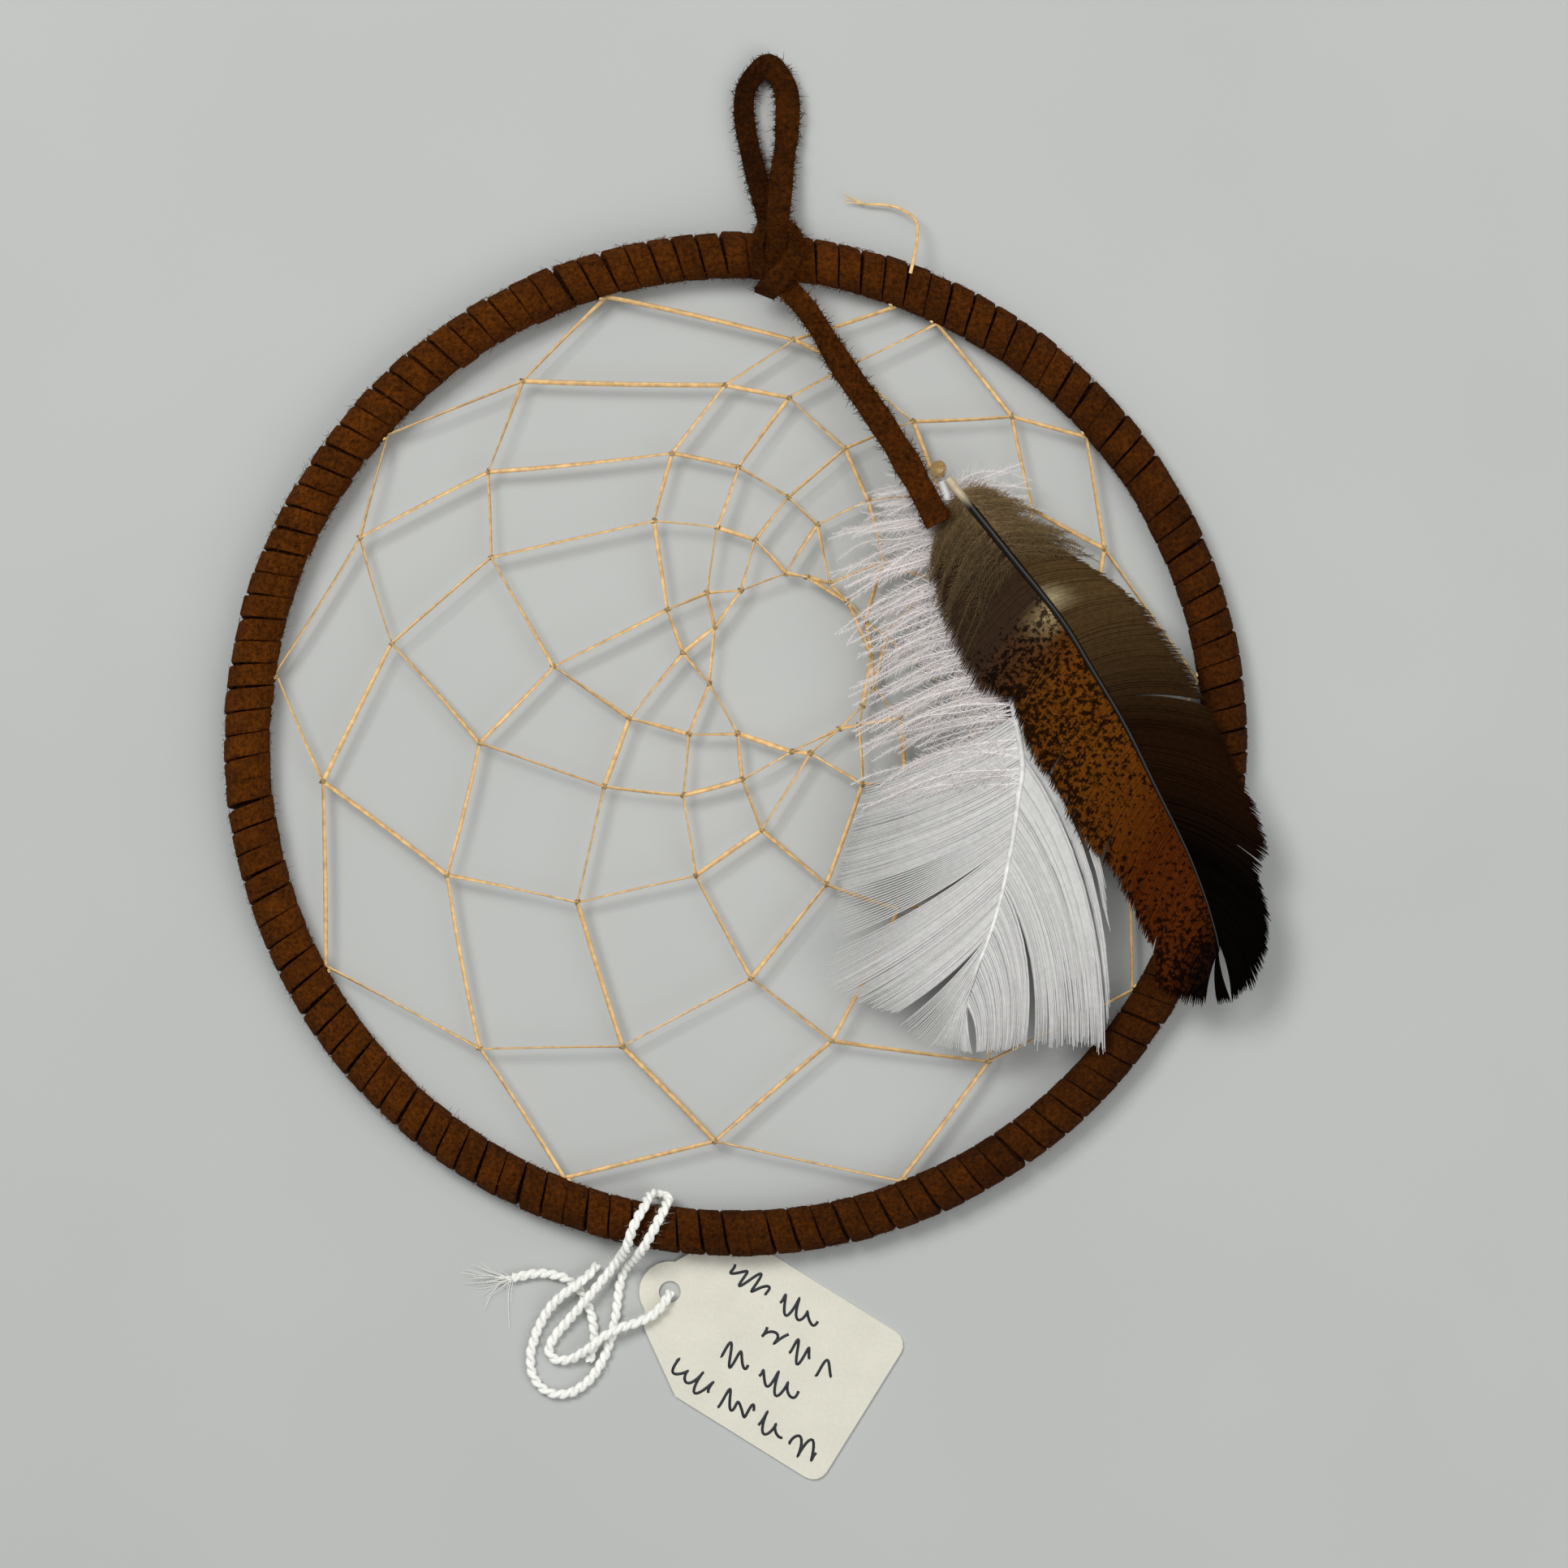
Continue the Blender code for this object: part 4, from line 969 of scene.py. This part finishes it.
class DREAMCATCHER_OT_feathers(bpy.types.Operator):
    """Makes both feathers: quills, vanes of separate barbs, and down, with the glued tie"""

    bl_idname = "dream_catcher.feathers"
    bl_label = "Feathers"

    def execute(self, context):
        made = settings_of("feathers")
        white = np.array(linear(made.white_hex))
        self.white_barbs = feather_keratin("white_feather_keratin", 0.6, 0.05, 0.06, 0.1)
        self.brown_barbs = feather_keratin("brown_feather_keratin", 0.6, 0.0, 0.2, 0.02)
        white_quill = route_m(WHITE_QUILL, 120, WHITE_LEVEL)
        brown_quill = route_m(BROWN_QUILL, 120, BROWN_LEVEL)

        # The white feather.
        show(strands("white_shaft", [(white_quill, np.linspace(0.62, 0.16, 120) * MM, (0, 0, 1),
                                      white * 1.2)], quill_horn("white_quill_horn", 0.35), sides=12),
             "white_feather", "white_quill", "white_quill")

        def plain(s, t):
            """The same white all over, with no flecks."""
            return white * 0.97, 0.0

        left = self.vane(white_quill, WHITE_LEFT_EDGE, 0.44, 0.97, made, 21, plain,
                         (0.6625, 0.735, 0.8325), 0.035, -0.08, 0.42)
        self.show_vane("white_vane_left", "white_feather", "white_barbs", left, self.white_barbs)
        right = self.vane(white_quill, WHITE_RIGHT_EDGE, 0.38, 0.97, made, 22, plain,
                          (0.4675, 0.5075, 0.7475, 0.86), 0.05, 0.16, 0.5)
        self.show_vane("white_vane_right", "white_feather", "white_barbs", right, self.white_barbs)
        lilac = np.array(linear("#f3edeb"))
        fluff = self.down(white_quill, WHITE_DOWN_LEFT, 0.01, 0.58, made.down_barbs, 23,
                          lambda s: lilac, 0.6, 1.0)
        self.show_down("white_down_left", "white_feather", "white_down", fluff, self.white_barbs)
        fluff = self.down(white_quill, WHITE_DOWN_RIGHT, 0.01, 0.44, made.down_barbs // 2, 24,
                          lambda s: lilac, 0.5, 1.0)
        self.show_down("white_down_right", "white_feather", "white_down", fluff, self.white_barbs)

        # The brown feather.
        share = np.linspace(0, 1, 120)
        clear, black = np.array(linear("#b9a98c")), np.array(linear("#0a0502"))
        fade = np.clip((share - 0.035) / 0.03, 0, 1)[:, None]
        show(strands("brown_shaft", [(brown_quill, np.linspace(0.58, 0.14, 120) * MM, (0, 0, 1),
                                      clear * (1 - fade) + black * fade)],
                     quill_horn("brown_quill_horn", 0.22), sides=12), "brown_feather", "dark_quill",
             "brown_quill")
        left = self.vane(brown_quill, BROWN_LEFT_EDGE, 0.12, 0.995, made, 31, self.tan_side,
                         (0.49, 0.655, 0.84, 0.93), 0.03, 0.10, 0.9)
        self.show_vane("brown_vane_left", "brown_feather", "tan_barbs", left, self.brown_barbs)
        right = self.vane(brown_quill, BROWN_RIGHT_EDGE, 0.12, 0.995, made, 32, self.dark_side,
                          (0.5, 0.735, 0.93), 0.025, 0.12, 0.9)
        self.show_vane("brown_vane_right", "brown_feather", "dark_barbs", right, self.brown_barbs)
        grey = np.array(linear("#7c6748"))
        fluff = self.down(brown_quill, BROWN_DOWN_LEFT, 0.03, 0.20, made.down_barbs * 2 // 3, 33,
                          lambda s: grey * (1.0 - 2.2 * s), 0.7, 0.6)
        self.show_down("brown_down_left", "brown_feather", "brown_down", fluff, self.brown_barbs)
        fluff = self.down(brown_quill, BROWN_DOWN_RIGHT, 0.03, 0.18, made.down_barbs * 2 // 3, 34,
                          lambda s: grey * (1.5 - 4.0 * s), 0.7, 0.6)
        self.show_down("brown_down_right", "brown_feather", "brown_down", fluff, self.brown_barbs)
        self.tie()
        return {"FINISHED"}

    def show_vane(self, name, body, slot, lines, material):
        """One side's barbs as a piece, in place of the CAD vane of the same name."""
        show(strands(name, lines, material, sides=4, flatness=0.22), body, slot, name)

    def show_down(self, name, body, slot, lines, material):
        """The same for soft down."""
        show(strands(name, lines, material, sides=3, capped=False), body, slot, name)

    def tan_side(self, s, t):
        """Colour and flecks of the brown feather's left vane, at share s of the quill and t of a barb."""
        tan, rust, dark = (np.array(linear(c)) for c in ("#623608", "#4a1f03", "#1a0a02"))
        colour = mix(np.array(linear("#35261a")), tan, np.clip((s - 0.27) / 0.14, 0, 1))
        pale = np.clip(1 - abs(s - 0.31) / 0.04, 0, 1) * np.clip(1 - t / 0.4, 0, 1)
        colour = mix(colour, np.array(linear("#b59f74")), 0.85 * pale)
        colour = mix(colour, rust, np.clip((s - 0.55) / 0.2, 0, 1))
        colour = mix(colour, dark, np.clip((s - 0.93) / 0.05, 0, 1))
        fleck = np.interp(s, [0.0, 0.24, 0.3, 0.55, 0.68, 0.8, 0.9, 1.0],
                          [0.2, 0.3, 0.51, 0.50, 0.43, 0.43, 0.50, 0.55])
        fleck += 0.05 * np.clip((t - 0.6) / 0.3, 0, 1)
        return colour, fleck

    def dark_side(self, s, t):
        """The same for its right vane: grey-brown near the root, black at the tip, pale by the shaft."""
        grey, dark, black = (np.array(linear(c)) for c in ("#4a3820", "#1e0e03", "#030100"))
        colour = mix(grey, dark, np.clip((s - 0.3) / 0.25, 0, 1))
        pale = np.clip(1 - abs(s - 0.285) / 0.035, 0, 1) * np.clip(1 - t / 0.42, 0, 1)
        colour = mix(colour, np.array(linear("#b8a982")), 0.8 * pale)
        return mix(colour, black, np.clip((s - 0.6) / 0.2, 0, 1)), 0.3

    def vane(self, quill, edge, first, last, made, seed, colour_at, splits, pull, bow, solid):
        """Barbs from the quill to the vane's outer edge, drawn together between the splits."""
        rng = np.random.default_rng(seed)
        shares = np.linspace(0, 1, len(quill))
        edge = np.array([(s, *at((x, y))[:2]) for s, x, y in edge])
        bounds = np.array([first, *splits, last])
        level = quill[:, 2].mean()
        lines = []
        count = int(made.barbs * (last - first))
        for k in range(count):
            s = first + (last - first) * k / (count - 1)
            root = np.array([np.interp(s, shares, quill[:, a]) for a in range(3)])
            lock = int(np.clip(np.searchsorted(bounds, s) - 1, 0, len(bounds) - 2))
            middle = (bounds[lock] + bounds[lock + 1]) / 2
            tight = s + (middle - s) * pull
            tip = np.array([np.interp(tight, edge[:, 0], edge[:, a]) for a in (1, 2)] + [level])
            heading = np.array([np.interp(s, shares, directions(quill)[:, a]) for a in range(3)])
            reach = tip - root
            length = np.linalg.norm(reach)
            tip = tip + reach * rng.normal(0, 0.018)
            back = -(heading - reach / length * np.dot(heading, reach / length))
            middle_point = root + reach * 0.45 + back / (np.linalg.norm(back) + 1e-9) * length * bow
            t = np.linspace(0, 1, 9)[:, None]
            line = (1 - t) ** 2 * root + 2 * t * (1 - t) * middle_point + t**2 * tip
            line[:, 2] = level + (0.35 * np.sin(t[:, 0] * 2.6) - 0.25 * t[:, 0] + rng.normal(0, 0.018)) * MM
            colour, fleck = zip(*[colour_at(s, float(u)) for u in t[:, 0]])
            tint = np.array(colour) * (1 + rng.normal(0, 0.03))
            taper = np.interp(t[:, 0], [0, 0.5, 0.9, 1], [1, (1 + solid) / 2, solid, 0.25])
            lines.append((line, made.barb_width / 2 * taper, (0, 0, 1), tint, np.array(fleck)))
        return lines

    def down(self, quill, edge, first, last, count, seed, colour_at, loft, drop):
        """Soft wavy barbs with their fine side fibres."""
        rng = np.random.default_rng(seed)
        shares = np.linspace(0, 1, len(quill))
        edge = np.array([(s, *at((x, y))[:2]) for s, x, y in edge])
        level = quill[:, 2].mean()
        locks = np.sort(rng.uniform(first, last, max(4, int((last - first) * 30))))
        lines = []
        for k in range(count):
            s = first + (last - first) * (k + rng.uniform(-0.5, 0.5)) / count
            root = np.array([np.interp(s, shares, quill[:, a]) for a in range(3)])
            lock = locks[np.argmin(np.abs(locks - s))]
            aim = s + (lock - s) * 0.7 + 0.06 + rng.normal(0, 0.014)
            tip = np.array([np.interp(aim, edge[:, 0], edge[:, a]) for a in (1, 2)] + [level])
            tip = root + (tip - root) * rng.uniform(0.5, 1.02)
            t = np.linspace(0, 1, 14)[:, None]
            reach = tip - root
            length = np.linalg.norm(reach)
            sideways = np.array([-reach[1], reach[0], 0]) / length
            droop = 0.07 if np.dot(sideways, directions(quill)[0]) < 0 else -0.07
            sway = (droop + rng.normal(0, 0.04)) * length * np.sin(t * math.pi)
            sway = sway + rng.normal(0, 0.012) * length * np.sin(t * math.tau * 1.5 + rng.uniform(0, 6))
            line = root + reach * t + sideways * sway
            line[:, 2] = level + rng.uniform(-drop, loft) * np.sin(t[:, 0] * 2.2) * MM
            tint = colour_at(s) * (1 + rng.normal(0, 0.06))
            lines.append((line, np.linspace(0.09, 0.03, 14) * MM, (0, 0, 1), tint, 0.0))
            run = directions(line)
            for i in np.linspace(1, 12.9, int(length / MM * 3.2)):
                j = int(i)
                root_j = line[j] + (line[j + 1] - line[j]) * (i - j)
                for side in (-1, 1):
                    long = rng.uniform(0.6, 1.9) * MM * (1.15 - 0.95 * i / 13)
                    lean = run[j] * rng.uniform(0.5, 1.1) + side * sideways * rng.uniform(0.4, 1.0)
                    lean = lean + np.array([0, 0, rng.normal(0, 0.25)])
                    hair = np.array([root_j, root_j + lean * long])
                    lines.append((hair, np.array([0.040, 0.018]) * MM, (0, 0, 1), tint, 0.0))
        return lines

    def tie(self):
        """The bead of glue that holds both quills to the lace."""
        bm = bmesh.new()
        bmesh.ops.create_uvsphere(bm, u_segments=48, v_segments=32, radius=0.0011)
        for vert in bm.verts:
            vert.co *= 1 + 0.16 * noise.noise(vert.co * 1400) + 0.05 * noise.noise(vert.co * 4200)
            vert.co.z *= 1.3
            vert.co += at(FEATHER_HINGE)
        mesh = bpy.data.meshes.new("glue_bead")
        bm.to_mesh(mesh)
        bm.free()
        mesh.shade_smooth()
        mesh.materials.append(glue())
        show(linked("glue_bead", mesh), "pendant", "glue", "feather_tie")


class DREAMCATCHER_OT_tag(bpy.types.Operator):
    """Finishes the card tag and draws four lines of unreadable pen strokes on it"""

    bl_idname = "dream_catcher.tag"
    bl_label = "Tag"

    def execute(self, context):
        made = settings_of("tag")
        card = bpy.data.objects["tag_card"]
        card.data.materials.clear()
        card.data.materials.append(tag_card())
        rng = np.random.default_rng(9)
        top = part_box("tag_card")[1].z + 0.00001
        strokes = []
        for first, last, across in PEN_LINES:
            u = first
            while u < last - 1:
                word = min(rng.uniform(3.0, 6.5), last - u)
                steps = int(word * 9)
                run = np.linspace(0, word, steps)
                wave = np.sin(run * WAVES_PER_MM + rng.uniform(0, 6))
                wave = wave * (1 + 0.5 * np.sin(run * 1.3 + rng.uniform(0, 6)))
                lean = 0.35 * np.cos(run * WAVES_PER_MM)
                line = np.stack([u + run + lean, across + wave, np.zeros(steps)], axis=1)
                line = self.on_card(line, top)
                strokes.append((line, made.pen_width / 2, (0, 0, 1), np.ones(3)))
                u += word + rng.uniform(0.9, 1.5)
        ink = strands("pen_strokes", strokes, pen_ink(), sides=6, flatness=0.12)
        show(ink, "tag", "card")
        return {"FINISHED"}

    def on_card(self, points, top):
        """Points given along and across the tag, laid on its top face."""
        cos, sin = math.cos(TAG_TURN), math.sin(TAG_TURN)
        placed = [at((TAG_HOLE[0] + u * cos - v * sin, TAG_HOLE[1] + u * sin + v * cos)) for u, v,
                  _ in points]
        return np.array([(p.x, p.y, top) for p in placed])


class DREAMCATCHER_PT_panel(bpy.types.Panel):
    """Lists the dream catcher's parts"""

    bl_label = "Dream Catcher"
    bl_space_type = "VIEW_3D"
    bl_region_type = "UI"
    bl_category = "Dream Catcher"

    def draw(self, context):
        for operator in OPERATORS:
            self.layout.operator(operator.bl_idname)


SETTINGS = {"hoop": HoopSettings, "web": WebSettings, "feathers": FeatherSettings, "tag": TagSettings,
            "stage": StageSettings}
OPERATORS = (DREAMCATCHER_OT_stage, DREAMCATCHER_OT_string, DREAMCATCHER_OT_laces, DREAMCATCHER_OT_hoop,
             DREAMCATCHER_OT_web,
             DREAMCATCHER_OT_feathers, DREAMCATCHER_OT_tag)
TREES = {}
MATERIALS = {}


def register():
    for group in SETTINGS.values():
        bpy.utils.register_class(group)
    for name, group in SETTINGS.items():
        setattr(bpy.types.Scene, "dream_catcher_" + name, PointerProperty(type=group))
    for shown in (*OPERATORS, DREAMCATCHER_PT_panel):
        bpy.utils.register_class(shown)


def unregister():
    for shown in (DREAMCATCHER_PT_panel, *reversed(OPERATORS)):
        bpy.utils.unregister_class(shown)
    for name, group in SETTINGS.items():
        delattr(bpy.types.Scene, "dream_catcher_" + name)
        bpy.utils.unregister_class(group)


def main():
    register()
    TREES["oval"] = strand_tree(False)
    TREES["lace"] = strand_tree(True)
    MATERIALS["suede"] = suede()
    for operator in OPERATORS:
        group, name = operator.bl_idname.split(".")
        getattr(getattr(bpy.ops, group), name)()


if __name__ == "__main__":
    main()
